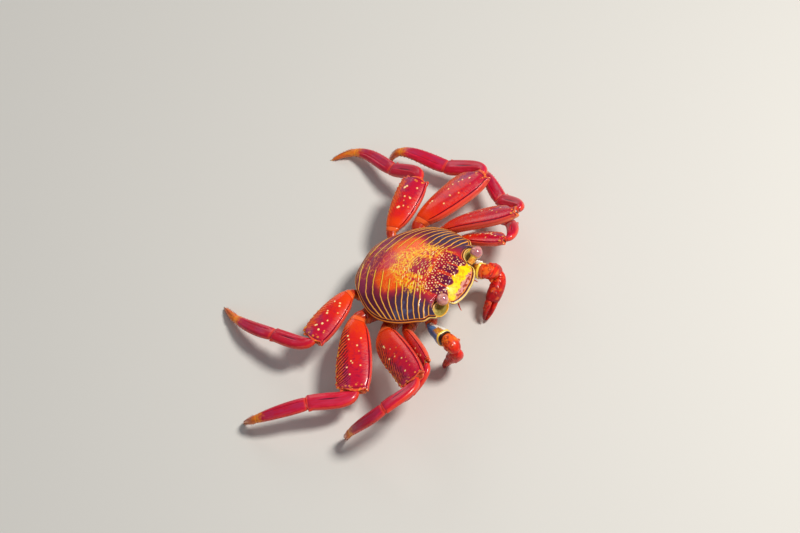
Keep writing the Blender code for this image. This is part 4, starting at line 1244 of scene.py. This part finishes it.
CARPUS_RELIEF = slender_relief((0.12, 0.3), (0.8, 0.93), 0.2, ((-0.42, 0.16),), (0.3, 0.22),
                               (-0.12, 0.045), (0.955, 0.013), (0.26, 0.14, 0.3, 0.2), (1.0, 0.6))
PROPODUS_RELIEF = slender_relief((0.04, 0.16), (0.7, 0.92), 0.0, ((-0.5, 0.14), (0.62, 0.14)), (0.15, 0.26),
                                 (-0.28, 0.05), (0.965, 0.012), (0.16, 0.1, 0.2, 0.18), (0.85, 0.5))
SPINE_SEED = 300
EDGE_SPINES = ((0.99, 0.1), (-0.99, 0.1), (-0.97, -0.35))
TIP_SPINES = ((0.9, 0.45), (0.9, -0.45), (-0.9, 0.45), (-0.9, -0.45), (0.1, 1.0), (0.0, -1.0))


def spine_rows(bm, limb, rows, first, last, count, length, radius, draw, dark=1.0):
    """Rows of leaning spines. A row is (front, rise) on the limb."""
    for front, rise in rows:
        for step in range(count):
            share = mix(first, last, step / (count - 1)) + draw.uniform(-0.012, 0.012)
            _, run, ahead, lift = limb.frame(share)
            outward = (ahead * front + lift * rise).normalized()
            size = length * draw.uniform(0.8, 1.15)
            spine(bm, limb.point(share, front * 0.97, rise * 0.97), outward + run * 1.3, size, radius, dark)


def build_lower_leg(side, number, points, along, joints, up, fold, seed):
    knee, wrist, ankle = joints
    _, carpus_width, propodus_width = LEG_WIDTHS[number]
    tag = f"leg_{side}{number}"
    draw = random.Random(SPINE_SEED + seed)
    carpus = Limb(side, points[1], points[2], knee, wrist, up, scaled(carpus_width, CARPUS_FLATNESS, (
        (0.0, 0.42, mix(0.56, 0.46, fold), 0.72), (0.1, mix(0.62, 0.42, fold), mix(0.66, 0.48, fold), 0.86),
        (0.2, mix(0.76, 0.48, fold), mix(0.84, 0.56, fold), 0.98),
        (0.35, mix(0.92, 0.62, fold), mix(1.0, 0.76, fold), 1.03),
        (0.55, mix(1.02, 0.86, fold), mix(1.06, 0.96, fold), 1.04),
        (0.8, 1.02, 1.0), (0.94, 0.98, 0.95, 0.95), (1.0, 0.88, 0.86, 0.85))), (mix(0.24, 0.28, fold), 0.3))
    bm = roll(carpus, 72, 64, seed + 20)
    press(bm, CARPUS_RELIEF)
    _, run, ahead, _ = carpus.frame(0.93)
    pull(bm, carpus.point(0.93, 1.0, 0.0), ahead + run * 1.8, 1.5, 1.3)
    pull(bm, carpus.point(0.95, -0.9, 0.3), run * 1.5 - ahead, 0.8, 1.0)
    dress(tag + "_carpus", bm, SHAFT_FINISH)

    propodus = Limb(side, points[2], points[3], wrist, ankle, up, scaled(propodus_width, PROPODUS_FLATNESS, (
        (0.0, 0.88, 0.86, 0.88), (0.07, 0.98, 0.96, 0.98), (0.3, 1.0), (0.62, 0.88, 0.94),
        (0.9, 0.68, 0.86), (1.0, 0.6, 0.78))))
    bm = roll(propodus, 80, 64, seed + 40)
    press(bm, PROPODUS_RELIEF)
    spine_rows(bm, propodus, EDGE_SPINES, 0.2, 0.95, 9, 0.85, 0.27, draw)
    dress(tag + "_propodus", bm, FOOT_FINISH)

    droop = (along[3] + Vector((0, 0, -0.35))).normalized()
    dactyl = Limb(side, points[3], points[4], ankle, droop, up, scaled(propodus_width * 0.6, 0.7, (
        (0.0, 0.86, 1.0), (0.15, 0.96, 1.05), (0.45, 0.72, 0.85), (0.75, 0.46, 0.6), (0.93, 0.24, 0.34),
        (1.0, 0.16, 0.24))), square=(2.2, 2.2))
    bm = roll(dactyl, 48, 36, seed + 60, end_cap=ROUND_CAP)
    spine_rows(bm, dactyl, TIP_SPINES, 0.16, 0.8, 8, 1.0, 0.27, draw, 0.8)
    trim_at_floor(bm)
    dress(tag + "_dactyl", bm, TIP_FINISH)


def trim_at_floor(bm):
    """Press whatever would reach below the floor up to it, as a foot rests flat."""
    for vert in bm.verts:
        vert.co.z = max(vert.co.z, 0.0)


print("lower leg tools ready")

# %% [markdown]
# ## Joint skin
# Between two plates of a limb a soft pale skin lets the joint bend. It shows as a sliver in
# the gap, so each joint gets a short plain sleeve that ends inside the plates on both sides.
# %% Joint skin
def skin_finish():
    finish = Finish("joint_skin", 0.42, subsurface=0.1)
    finish.ground = finish.mix(finish.noise(0.9).step(-0.05, 0.12), "7a3a2e", "e6d6cc")
    return finish.done(finish.noise(3.0, 3.0, (2.5, 0.7, 1.0)), 0.6, 0.25)


def joint_skin(tag, side, up, joints):
    """Sleeves through the joints of a limb, from (place, direction, reach, half width, half thickness)."""
    sleeves = []
    for spot, run, reach, width, thick in joints:
        rows = ((0.0, width, thick), (0.5, width * 0.9, thick * 0.9), (1.0, width, thick))
        sleeve = Limb(side, spot - run * reach, spot + run * reach, run, run, up, rows, square=ROUND)
        sleeves.append(roll(sleeve, 12, 28, start_cap=SLEEVE_CAP, end_cap=SLEEVE_CAP))
    join(*sleeves)
    put(tag + "_joint_skin", sleeves[0], SKIN_FINISH)


SKIN_FINISH = skin_finish()
print("joint skin ready")

# %% [markdown]
# ## The eight walking legs
# One function strings the pieces of a leg together: the hip, the upper leg, the knee piece,
# the shaft, the tip and the skin in its joints. The plane in which a leg bends is found from
# two of its pieces, and every table of widths lies across that plane.
# %% Walking legs
def hip_relief(along, front, rise):
    ring = bell(along, 0.3, 0.05)
    return 0.25 * bell(along, 0.12, 0.1) - 0.35 * ring, ring * 0.6


def build_hip(tag, side, base, root, radius, along, up, width, thick, seed):
    end, start = coxa_end(side, base, root), body_point(base, side)
    out = (start - body_point(root, side)).normalized()
    arrive = between(out, along)
    rows = ((0.0, radius), (0.35, radius * 0.9), (1.0, width, thick))
    bm = roll(Limb(side, end, start, out, arrive, up, rows, square=ROUND), 30, 48, seed + 80)
    press(bm, hip_relief)
    dress(tag + "_ischium", bm, HIP_FINISH)
    return arrive


def build_leg(side, number):
    seed = number + (4 if side == "r" else 0)
    tag = f"leg_{side}{number}"
    points = leg_points(side, number)
    along, up = directions(points)
    bend = math.degrees(along[0].angle(along[1]))
    fold = min(max((bend - FOLD_FROM) / (FOLD_TO - FOLD_FROM), 0), 1)
    merus, carpus, propodus = (width / 2 for width in LEG_WIDTHS[number])
    start = build_hip(tag, side, MERUS_BASE[side, number], COXA_ROOT[number],
                      COXA_RADIUS[number] - ISCHIUM_SLIMMER, along[0], up, merus * 0.38,
                      merus * MERUS_FLATNESS * 0.85, seed)
    knee = between(along[0], along[1], mix(*KNEE_LEAN, fold))
    wrist, ankle = between(along[1], along[2]), between(along[2], along[3])
    build_merus(side, number, points, along, start, knee, up, fold, seed)
    build_lower_leg(side, number, points, along, (knee, wrist, ankle), up, fold, seed)
    joint_skin(tag, side, up, ((points[0], start, 1.4, merus * 0.36, merus * MERUS_FLATNESS * 0.74),
                               (points[1], knee, 1.7, carpus * 0.5, carpus * 0.42),
                               (points[2], wrist, 1.3, carpus * 0.74, carpus * 0.42),
                               (points[3], ankle, 1.1, propodus * 0.5, propodus * 0.36)))


for leg_side in SIDE:
    for leg_number in COXA_ROOT:
        build_leg(leg_side, leg_number)

# %% [markdown]
# ## Claws: finishes
# The arm of each claw is white, and turns gold brown towards a yellow rim at the elbow. On
# the right arm, steel blue painted shade covers one side, and near-black painted shade fills
# the gap at the elbow. Each claw turns another side to the camera, so the blue follows another
# of the painted numbers on each. The hand is glowing orange red and knobbly, and its fingers
# darken to deep crimson. Its knobs are tipped with orange, partly their own colour and partly
# painted highlight, with painted shade round their feet. The colours change along the limb,
# so the painted length drives them.
# %% Claw finishes
def arm_finish(name, across, blue_from, brown_from, brown_middle, brown_half, far):
    """White with steel blue painted shade on one side, brown towards the elbow, and a yellow rim before the
    far colour.
    """
    finish = Finish(name, 0.3, coat=0.2)
    along, side = finish.painted("along"), finish.painted(across)
    grain, fine = finish.noise(0.45), finish.noise(2.2)
    # painted shade: steel blue where the painted number across the arm passes blue_from
    finish.ground = finish.mix((side + grain * 0.5).step(blue_from, blue_from + 0.12), "fdfaf2", "4f86c4")
    beside = (abs(side - brown_middle) + grain * 0.5).step(brown_half, brown_half + 0.25)
    brown = (along + grain * 0.3).step(brown_from, brown_from + 0.08) * (1 - beside)
    finish.over(brown, finish.mix(fine.step(-0.05, 0.15), "bc620e", "f0ae34"))
    # the far colour; on the right arm it is near-black painted shade in the elbow gap
    finish.over(along.step(0.95, 0.965), far)
    finish.over((along + (fine * 0.03 - 0.93)).band(0.018, 0.012), "ffd03a")
    finish.over(finish.painted("furrow").step(0.35, 0.9), "3c1c14")
    return finish.done(fine * 0.5 + grain, 0.35, 0.2)


def hand_finish(name, base, far, knob):
    """One colour runs into another along the limb, with knobs of a third that is partly painted highlight,
    and painted shade round their feet.
    """
    finish = Finish(name, 0.32, coat=0.2, specular=0.3)
    grain, fine = finish.noise(0.5), finish.noise(2.2)
    finish.ground = finish.mix((finish.painted("along") + grain * 0.6).step(0.15, 0.9), base, far)
    finish.over(finish.noise(0.32, 2.0).step(0.02, 0.14) * 0.5, knob)
    finish.over(grain.step(0.03, 0.16) * 0.6, "860a18")
    knobs = finish.painted("dot") + fine * 0.5
    # painted shade: a dark crimson ring round the foot of each knob
    finish.over(knobs.step(-0.1, 0.15) * (1 - knobs.step(0.25, 0.7)) * 0.5, "7c0a16")
    # the knob tops: partly their own orange, partly painted highlight
    finish.over((1 - knobs.step(-0.6, -0.1)) * 0.75, knob)
    return finish.done(fine * 0.4 + grain, 0.25, 0.2)


ARM_FINISH = {"l": arm_finish("claw_arm_l", "front", 2.0, 0.0, -0.1, 0.42, "d8501c"),
              # the right arm's near-black far colour is painted shade in its elbow gap
              "r": arm_finish("claw_arm_r", "rise", -0.15, 0.52, 0.22, 0.34, "2c1210")}
KNUCKLE_FINISH = {"l": hand_finish("claw_knuckle_l", "f0300e", "c80e14", "f88a24"),
                  "r": hand_finish("claw_knuckle_r", "f4641a", "e42210", "fb9626")}
HAND_FINISH = hand_finish("claw_hand", "e01c0c", "a40a12", "ec641c")
FINGER_FINISH = hand_finish("claw_finger", "d4160c", "86080f", "e8601c")
print("claw finishes ready")

# %% [markdown]
# ## Claws
# A claw is an arm, a knuckle and a hand with one fixed and one moving finger. The knuckle is
# a short, fat limb piece, which rounds it off without a boolean. Its knobs and those of the
# palm are pulled from the surface, in rows, each a little different in size.
# %% Claws
CLAW_CARPUS_RADIUS = 4.4
CLAW_SEED = 500
ROW_TURN = 9
CLAW_LENGTHS = {"l": (15.0, 9.0, 16.0, 11.5), "r": (18.5, 8.8, 14.5, 11.0)}
CLAW_POSE = {
    "l": ((-109, 29), (-47, -39), (-175, -29), (-194, -43)),
    "r": ((-61, 20), (-59, -18), (113, -64), (74, -58)),
}


def knob(bm, spot, outward, height, radius):
    """Pull a knob and paint the distance from its edge."""
    dot, = paint_layers(bm, "dot")
    for vert in bm.verts:
        reach = (vert.co - spot).length
        if reach < radius + 1.0:
            vert[dot] = min(vert[dot], reach - radius * 0.75)
        if reach < radius:
            vert.co += outward * height * (1 - (reach / radius) ** 2) ** 0.7


def knobs(bm, limb, shares, turns, height, radius, draw):
    """Rows of knobs round a limb, each at a share along it and at turns in degrees."""
    for row, share in enumerate(shares):
        for turn in turns:
            angle = math.radians(turn + ROW_TURN * (row % 2) + draw.uniform(-5, 5))
            front, rise = limb.section(angle)
            _, _, ahead, lift = limb.frame(share)
            spot = limb.point(share + draw.uniform(-0.02, 0.02), front, rise)
            size = draw.uniform(0.75, 1.2)
            knob(bm, spot, (ahead * front + lift * rise).normalized(), height * size, radius * size)


def arm_relief(along, front, rise):
    """A lipped far end, a slender root, and a keel that broadens the outer side towards the elbow."""
    ring = bell(along, 0.965, 0.02)
    root = 0.5 * (1 - ease(along, 0.05, 0.45))
    keel = 1.3 * bell(along, 0.84, 0.26) * ease(rise, 0.1, 0.9)
    return 0.3 * bell(along, 0.92, 0.03) - 0.35 * ring - root + keel, ring * 0.7


ARM_ROWS = ((0.0, 2.7, 2.5), (0.15, 3.2, 3.0, 2.8), (0.55, 3.9, 3.4), (0.85, 4.4, 3.9), (1.0, 4.1, 3.6))
BALL_ROWS = ((0.0, 0.8), (0.12, 0.91), (0.3, 0.99), (0.5, 1.02), (0.7, 0.98), (0.88, 0.86), (1.0, 0.7))
PALM_ROWS = ((0.0, 2.8), (0.12, 3.5, 3.3), (0.4, 3.9, 4.1), (0.7, 3.8, 4.4), (0.92, 3.4, 4.2),
             (1.0, 3.0, 3.7))
FINGER_ROWS = ((0.0, 2.3, 1.75), (0.3, 2.2, 1.6), (0.65, 1.7, 1.25), (0.9, 1.3, 0.9), (1.0, 1.0, 0.55))


def build_claw(side):
    tag = f"claw_{side}"
    draw = random.Random(CLAW_SEED + SIDE[side])
    points = chain(side, body_point(CLAW_BASE[side], side), CLAW_LENGTHS[side], CLAW_POSE[side])
    along, up = directions(points)
    start = build_hip(tag, side, CLAW_BASE[side], CLAW_ROOT, CLAW_COXA_RADIUS - ISCHIUM_SLIMMER,
                      along[0], up, 2.7, 2.5, 30)
    elbow, wrist = between(along[0], along[1], 0.3), between(along[1], along[2])

    arm = Limb(side, points[0], points[1], start, elbow, up, ARM_ROWS, square=(2.6, 2.6))
    bm = roll(arm, 56, 64, 90)
    press(bm, arm_relief)
    for share in (0.42, 0.6, 0.78):
        _, run, ahead, lift = arm.frame(share)
        pull(bm, arm.point(share, -0.97, 0.3), -ahead + lift * 0.3 + run * 0.8, 1.5, 1.3)
    dress(tag + "_merus", bm, ARM_FINISH[side])

    rows = round_rows(CLAW_CARPUS_RADIUS, BALL_ROWS)
    carpus = Limb(side, points[1], points[2], elbow, wrist, up, rows, square=(2.1, 2.1))
    bm = roll(carpus, 44, 72, 91)
    knobs(bm, carpus, (0.22, 0.44, 0.66), (20, 60, 100, 140), 0.38, 0.95, draw)
    inward = (-Vector((SIDE[side], 0, 0)) + along[1] * 0.5).normalized()
    middle = (points[1] + points[2]) / 2
    pull(bm, middle + inward * CLAW_CARPUS_RADIUS * 0.95, inward, 2.2, 1.7)
    dress(tag + "_carpus", bm, KNUCKLE_FINISH[side])
    build_hand(side, tag, points, along, wrist, up, draw)
    joint_skin(tag, side, up, ((points[0], start, 1.2, 2.2, 2.0), (points[1], elbow, 1.4, 3.1, 2.8),
                               (points[2], wrist, 1.4, 2.4, 2.4)))


def build_hand(side, tag, points, along, wrist, up, draw):
    """Palm with its fixed finger, and the moving finger above it."""
    knuckle = between(along[2], along[3])
    palm = Limb(side, points[2], points[3], wrist, knuckle, up, PALM_ROWS, square=(2.3, 2.3))
    _, _, _, rise = palm.frame(1.0)
    bm = roll(palm, 56, 72, 92)
    knobs(bm, palm, (0.16, 0.36, 0.56, 0.76), (24, 68, 112, 156), 0.3, 0.85, draw)
    root = points[3] - rise * 2.1 - knuckle * 3.0
    _, finger = build_finger(side, root, points[4] - rise * 0.75, knuckle, along[3] + rise * 0.4, up, 93, 1.0)
    join(bm, finger)
    dress(tag + "_palm", bm, HAND_FINISH)
    root = points[3] + rise * 1.9
    limb, bm = build_finger(side, root, points[4] + rise * 0.75, knuckle, along[3] - rise * 0.4, up, 94, -1.0)
    knobs(bm, limb, (0.15, 0.3, 0.45), (70, 110), 0.3, 0.6, draw)
    dress(tag + "_finger", bm, FINGER_FINISH)


def build_finger(side, root, tip, knuckle, bend, up, seed, inner):
    """A tapered finger with blunt teeth along its inner edge, which faces up if inner is 1."""
    limb = Limb(side, root, tip, knuckle, bend.normalized(), up, FINGER_ROWS, square=(2.2, 2.2))
    bm = roll(limb, 44, 40, seed, end_cap=ROUND_CAP)
    for share in (0.42, 0.54, 0.66, 0.78):
        _, _, _, lift = limb.frame(share)
        pull(bm, limb.point(share, 0.0, inner), lift * inner, 0.42, 0.75, 2.0)
    return limb, bm


for claw_side in SIDE:
    build_claw(claw_side)

# %% [markdown]
# ## Eyes
# Each eye is a short stalk with a big rounded cornea, pale rose with a violet bloom, and a
# yellow collar where the two meet. It rests in an orbit, a smooth bowl under the notch of the
# shell. The bowl starts as a sphere, is cut by a plane along its rim, and gets a wall.
# %% Eyes and orbits
EYE_RADIUS = 3.5
EYE_STALK = 1.7
EYE = {"l": ((14.6, -29.8, 0.2), (21.0, -31.8, 2.8)), "r": ((12.8, -29.4, -0.2), (15.6, -28.4, 3.8))}
BOWL_CENTRE = (19.4, -28.8, 1.9)
BOWL_ROOM = (6.7, 4.7, 4.2)
BOWL_RIM_BACK = (0.0, -24.4, 1.9)
BOWL_RIM_FRONT = (0.0, -33.0, -1.9)
BOWL_WALL = 0.45


def eye_finish():
    finish = Finish("eye", 0.12, coat=0.8, coat_roughness=0.05, subsurface=0.15)
    grain, fine = finish.noise(0.3), finish.noise(1.6)
    rose = finish.mix(grain.step(-0.12, 0.12), "e09a8c", "b8707c")
    streak = finish.noise(0.7, 3.0, (2.2, 0.6, 1.0)).step(0.05, 0.2)
    collar = finish.painted("along") + fine * 0.03
    finish.ground = finish.mix(fine.step(-0.1, 0.12), "e0782a", "f6bc3a")
    finish.over(collar.step(0.3, 0.34), "f8d24a")
    finish.over(collar.step(0.4, 0.45), finish.mix(streak * 0.55, rose, "8c4650"))
    return finish.done(finish.cells(5.0), 0.08, 0.03)


def orbit_finish():
    finish = Finish("orbit", 0.34, coat=0.3)
    grain, fine = finish.noise(0.5), finish.noise(2.0)
    finish.ground = finish.mix(grain.step(-0.1, 0.15), "7c6a24", "9c8c46")
    edge = finish.painted("lip") + fine * 0.9
    finish.over(edge.step(-2.2, -0.9) * 0.6, "cbbd6a")
    finish.over(edge.step(-0.85, -0.6), "f6b834")
    return finish.done(fine, 0.3, 0.12)


EYE_FINISH = eye_finish()
ORBIT_FINISH = orbit_finish()
# The cornea's profile, as (share of its radius from its middle towards the root, share of its radius).
CORNEA = ((0.95, 0.5), (0.8, 0.62), (0.6, 0.84), (0.35, 0.95), (0.0, 1.0), (-0.4, 0.93), (-0.75, 0.7),
          (-0.98, 0.42), (-1.08, 0.22))
CORNEA_TIP = 1.12


def build_eye(side):
    root, centre = (body_point(point, side) for point in EYE[side])
    out = (centre - root).normalized()
    tip = centre + out * EYE_RADIUS * CORNEA_TIP
    length = (tip - root).length
    rows = [(0.0, EYE_STALK * 1.1), (0.08, EYE_STALK)]
    rows += [((length - EYE_RADIUS * (CORNEA_TIP + reach)) / length, EYE_RADIUS * size)
             for reach, size in CORNEA]
    rows = sorted(row for row in rows if row[0] >= 0)
    limb = Limb(side, root, tip, out, out, UP, rows, square=ROUND)
    dress(f"eye_{side}", roll(limb, 64, 64, 95, end_cap=((0.5, 0.12),)), EYE_FINISH)


def build_bowl(side):
    bm = bmesh.new()
    lip, = paint_layers(bm, "lip")
    layer = place_layer(bm)
    bmesh.ops.create_uvsphere(bm, u_segments=72, v_segments=48, radius=1.0)
    bmesh.ops.scale(bm, verts=bm.verts, vec=BOWL_ROOM)
    centre = Vector((BOWL_CENTRE[0] * SIDE[side], *BOWL_CENTRE[1:]))
    bmesh.ops.translate(bm, verts=bm.verts, vec=centre)
    run = (Vector(BOWL_RIM_FRONT) - Vector(BOWL_RIM_BACK)).normalized()
    out = Vector((0, run.z, -run.y))
    out = out if out.z > 0 else -out
    bmesh.ops.bisect_plane(bm, geom=bm.verts[:] + bm.edges[:] + bm.faces[:], plane_co=Vector(BOWL_RIM_BACK),
                           plane_no=out, clear_outer=True)
    bmesh.ops.recalc_face_normals(bm, faces=bm.faces)
    bmesh.ops.solidify(bm, geom=bm.faces[:], thickness=BOWL_WALL)
    for vert in bm.verts:
        vert[lip] = (vert.co - Vector(BOWL_RIM_BACK)).dot(out)
        vert[layer] = vert.co
    carry(bm)
    put(f"orbit_{side}", bm, ORBIT_FINISH)


for eye_side in SIDE:
    build_eye(eye_side)
    build_bowl(eye_side)

# %% [markdown]
# ## The underside
# Under the shell lies the breastplate, pale and satin, with a furrow between each pair of
# legs. Its levels are rounded slabs that shrink downwards. The same rolled grid makes it, with
# its length running from the top level to the bottom one. Stubs that carry the legs stand out
# of it, ringed where the first joint turns.
# %% Underside
THORAX_LEVELS = (
    (-2.9, 28.0, -29.6, 27.0, 3.3), (-6.5, 27.2, -28.2, 26.4, 2.6), (-10.5, 23.6, -24.0, 23.0, 2.4),
    (-13.8, 17.5, -20.0, 18.0, 2.6), (-15.6, 12.0, -16.0, 14.0, 2.6),
)
STERNUM_FURROWS = (-17.0, -8.6, -1.6, 7.0, 15.6)


def underside_finish(name, base, mottle, tip):
    finish = Finish(name, 0.45, coat=0.1, subsurface=0.05)
    grain, fine = finish.noise(0.3, 4.0), finish.noise(1.8)
    finish.ground = finish.mix(grain.step(-0.08, 0.16), base, mottle)
    finish.over((finish.painted("along") + grain * 0.5).step(0.45, 0.9), tip)
    finish.over(finish.painted("furrow").step(0.2, 0.8), "7a4636")
    return finish.done(fine + grain, 0.3, 0.25)


CHEST_FINISH = underside_finish("chest", "e9c9b4", "d99a84", "f1dccb")
STUB_FINISH = underside_finish("leg_stub", "a8401e", "7c2a1a", "b8401a")
TAIL_FINISH = underside_finish("tail", "e4c0a8", "cf8c78", "edd3bf")
MOUTH_FINISH = underside_finish("mouth_plate", "e0b090", "c8603c", "ecc8a4")


def superellipse(turn, power):
    """A point of a rounded square of half width 1, at an angle."""
    return [math.copysign(abs(value) ** (2 / power), value) for value in (math.cos(turn), math.sin(turn))]


def build_chest():
    bm = bmesh.new()
    along, furrow = paint_layers(bm, "along", "furrow")
    layer = place_layer(bm)
    bmesh.ops.create_grid(bm, x_segments=44, y_segments=144, size=0.5)
    rows = [(step / (len(THORAX_LEVELS) - 1), *level) for step, level in enumerate(THORAX_LEVELS)]
    for vert in bm.verts:
        share = vert.co.x + 0.5
        height, half, front, rear, square = through(rows, share)
        x, y = superellipse((vert.co.y + 0.5) * 2 * math.pi, square)
        x, y = x * half, (front + rear) / 2 + y * (rear - front) / 2
        inward = ease(share, 0.25, 0.6)
        depth = sum(bell(y, line, 0.55) for line in STERNUM_FURROWS) * ease(abs(x), 4.0, 9.0) * inward
        vert[along], vert[furrow] = share, depth
        vert.co = (x * (1 - 0.012 * depth), y, height + 0.55 * depth)
        vert[layer] = vert.co
    bmesh.ops.remove_doubles(bm, verts=[vert for vert in bm.verts if vert.is_boundary], dist=WELD_DISTANCE)
    for low, level in ((True, THORAX_LEVELS[0]), (False, THORAX_LEVELS[-1])):
        middle = Vector((0, (level[2] + level[3]) / 2, level[0]))
        close_end(bm, along, low, FLAT_CAP, middle, UP)
    carry(bm)
    put("chest", bm, CHEST_FINISH, "underside")


def stub_relief(along, front, rise):
    ring = bell(along, 0.86, 0.035)
    return 0.3 * bell(along, 0.95, 0.03) - 0.3 * ring, ring * 0.8


def build_stubs():
    """The fixed roots of the legs and claws, as one piece."""
    stubs = []
    for side in SIDE:
        bases = [(MERUS_BASE[side, number], COXA_ROOT[number], COXA_RADIUS[number]) for number in COXA_ROOT]
        bases.append((CLAW_BASE[side], CLAW_ROOT, CLAW_COXA_RADIUS))
        for step, (base, root, radius) in enumerate(bases):
            inside, end = body_point(root, side), coxa_end(side, base, root)
            out = (end - inside).normalized()
            rows = round_rows(radius, ((0.0, 1.0), (0.6, 0.97), (0.9, 0.96), (1.0, 0.9)))
            limb = Limb(side, inside, end, out, out, UP, rows, square=ROUND)
            stubs.append(roll(limb, 40, 48, step))
            press(stubs[-1], stub_relief)
    join(*stubs)
    put("leg_stubs", stubs[0], STUB_FINISH)


build_chest()
build_stubs()

# %% [markdown]
# ## Tail and mouth
# A crab's tail is folded forwards under its body as a chain of flat plates, and two pairs of
# mouth plates close over its mouth. Each is a strip of grid laid along a profile of the
# chest. Every plate of the strip slopes up to its rear edge and drops to the next one.
# %% Tail and mouth plates
PLATE_THICKNESS = 1.6
PLATE_WALL = 0.4
ABDOMEN_HALF_WIDTHS = (10.5, 10.0, 9.0, 8.0, 6.6, 1.6)
MOUTH_SPAN = (0.25, 7.2)


def plated(profile, low_edges, high_edges, plates, step_height):
    """A closed strip of plates along a (y, z) profile, between two edges across it."""
    bm = bmesh.new()
    along, furrow = paint_layers(bm, "along", "furrow")
    layer = place_layer(bm)
    bmesh.ops.create_grid(bm, x_segments=plates * 12, y_segments=36, size=0.5)
    last = len(profile) - 1
    lines = [(step / last, *profile[step], low_edges[step], high_edges[step]) for step in range(last + 1)]
    for vert in bm.verts:
        share, across = vert.co.x + 0.5, vert.co.y + 0.5
        y, z, low, high = through(lines, share)
        ahead, behind = through(lines, min(share + 0.01, 1)), through(lines, max(share - 0.01, 0))
        run = Vector((ahead[0] - behind[0], ahead[1] - behind[1])).normalized()
        out = Vector((-run.y, run.x))
        out = out if out.dot(Vector((y, z + 6))) > 0 else -out
        phase = (share * plates) % 1
        arch = (1 - (2 * across - 1) ** 4) ** 0.6 if 0 < across < 1 else 0.0
        reach = 0.2 + (PLATE_THICKNESS - 0.5 + step_height * (phase - 1)) * arch
        vert[along], vert[furrow] = share, (bell(phase, 0.0, 0.05) + bell(phase, 1.0, 0.05)) * 0.8
        vert.co = (mix(low, high, across), y + out.x * reach, z + out.y * reach)
        vert[layer] = vert.co
    bmesh.ops.recalc_face_normals(bm, faces=bm.faces)
    bmesh.ops.solidify(bm, geom=bm.faces[:], thickness=PLATE_WALL)
    carry(bm)
    return bm


tail_profile = [(rear, height) for height, _, _, rear, _ in THORAX_LEVELS] + [(-6.0, THORAX_LEVELS[-1][0])]
tail = plated(tail_profile, [-half for half in ABDOMEN_HALF_WIDTHS], ABDOMEN_HALF_WIDTHS, 6, 0.45)
put("tail", tail, TAIL_FINISH, "abdomen")
mouth_profile = [(THORAX_LEVELS[1][2] - 0.5, -4.6)]
mouth_profile += [(front, height) for height, _, front, _, _ in THORAX_LEVELS[1:4]]
for mouth_side in SIDE:
    inner, outer = (SIDE[mouth_side] * span for span in MOUTH_SPAN)
    plate = plated(mouth_profile, [inner] * 4, [outer] * 4, 2, 0.5)
    put(f"mouth_plate_{mouth_side}", plate, MOUTH_FINISH, f"maxilliped_{mouth_side}")

# %% [markdown]
# ## Feelers
# This crab's feelers are short: a thick base and a thin whip of little rings beside the mouth.
# %% Feelers
FEELER_ROOT = (8.4, -4.4)
FEELER_WAY = (0.3, -0.5, -0.8)
FEELER_LENGTH = 7.0
FEELER_ROWS = ((0.0, 1.1), (0.22, 1.1), (0.32, 0.6), (1.0, 0.22))


def feeler_relief(along, front, rise):
    rings = 0.5 + 0.5 * math.sin(2 * math.pi * along * 22)
    thin = ease(along, 0.3, 0.4)
    return 0.05 * rings * thin, 0.6 * (1 - rings) * thin


def build_feeler(side):
    root = body_point((FEELER_ROOT[0], THORAX_LEVELS[0][2] - HALF_GAP, FEELER_ROOT[1]), side)
    out = BODY.to_3x3() @ Vector((SIDE[side] * FEELER_WAY[0], *FEELER_WAY[1:])).normalized()
    front = BODY.to_3x3() @ Vector((0, -1, 0))
    tip = root + out * FEELER_LENGTH
    limb = Limb(side, root, tip, front, out, UP, FEELER_ROWS, square=ROUND)
    bm = roll(limb, 110, 20, 97, end_cap=ROUND_CAP)
    press(bm, feeler_relief)
    put(f"feeler_{side}", bm, HIP_FINISH, f"antenna_{side}")


for feeler_side in SIDE:
    build_feeler(feeler_side)

# %% [markdown]
# ## Floor
# The crab stands on a wide pale floor.
# %% Floor
FLOOR_HALF = 4.0
floor_mesh = bmesh.new()
bmesh.ops.create_grid(floor_mesh, x_segments=1, y_segments=1, size=FLOOR_HALF)
floor_data = bpy.data.meshes.new("floor")
floor_mesh.to_mesh(floor_data)
floor_mesh.free()
floor = bpy.data.objects.new("floor", floor_data)
bpy.context.scene.collection.objects.link(floor)
floor_finish = Finish("floor", 0.7)
floor_finish.feed(floor_finish.shader["Base Color"], "d9d7d2")
floor_data.materials.append(floor_finish.material)
print("floor", FLOOR_HALF * 2, "m wide")
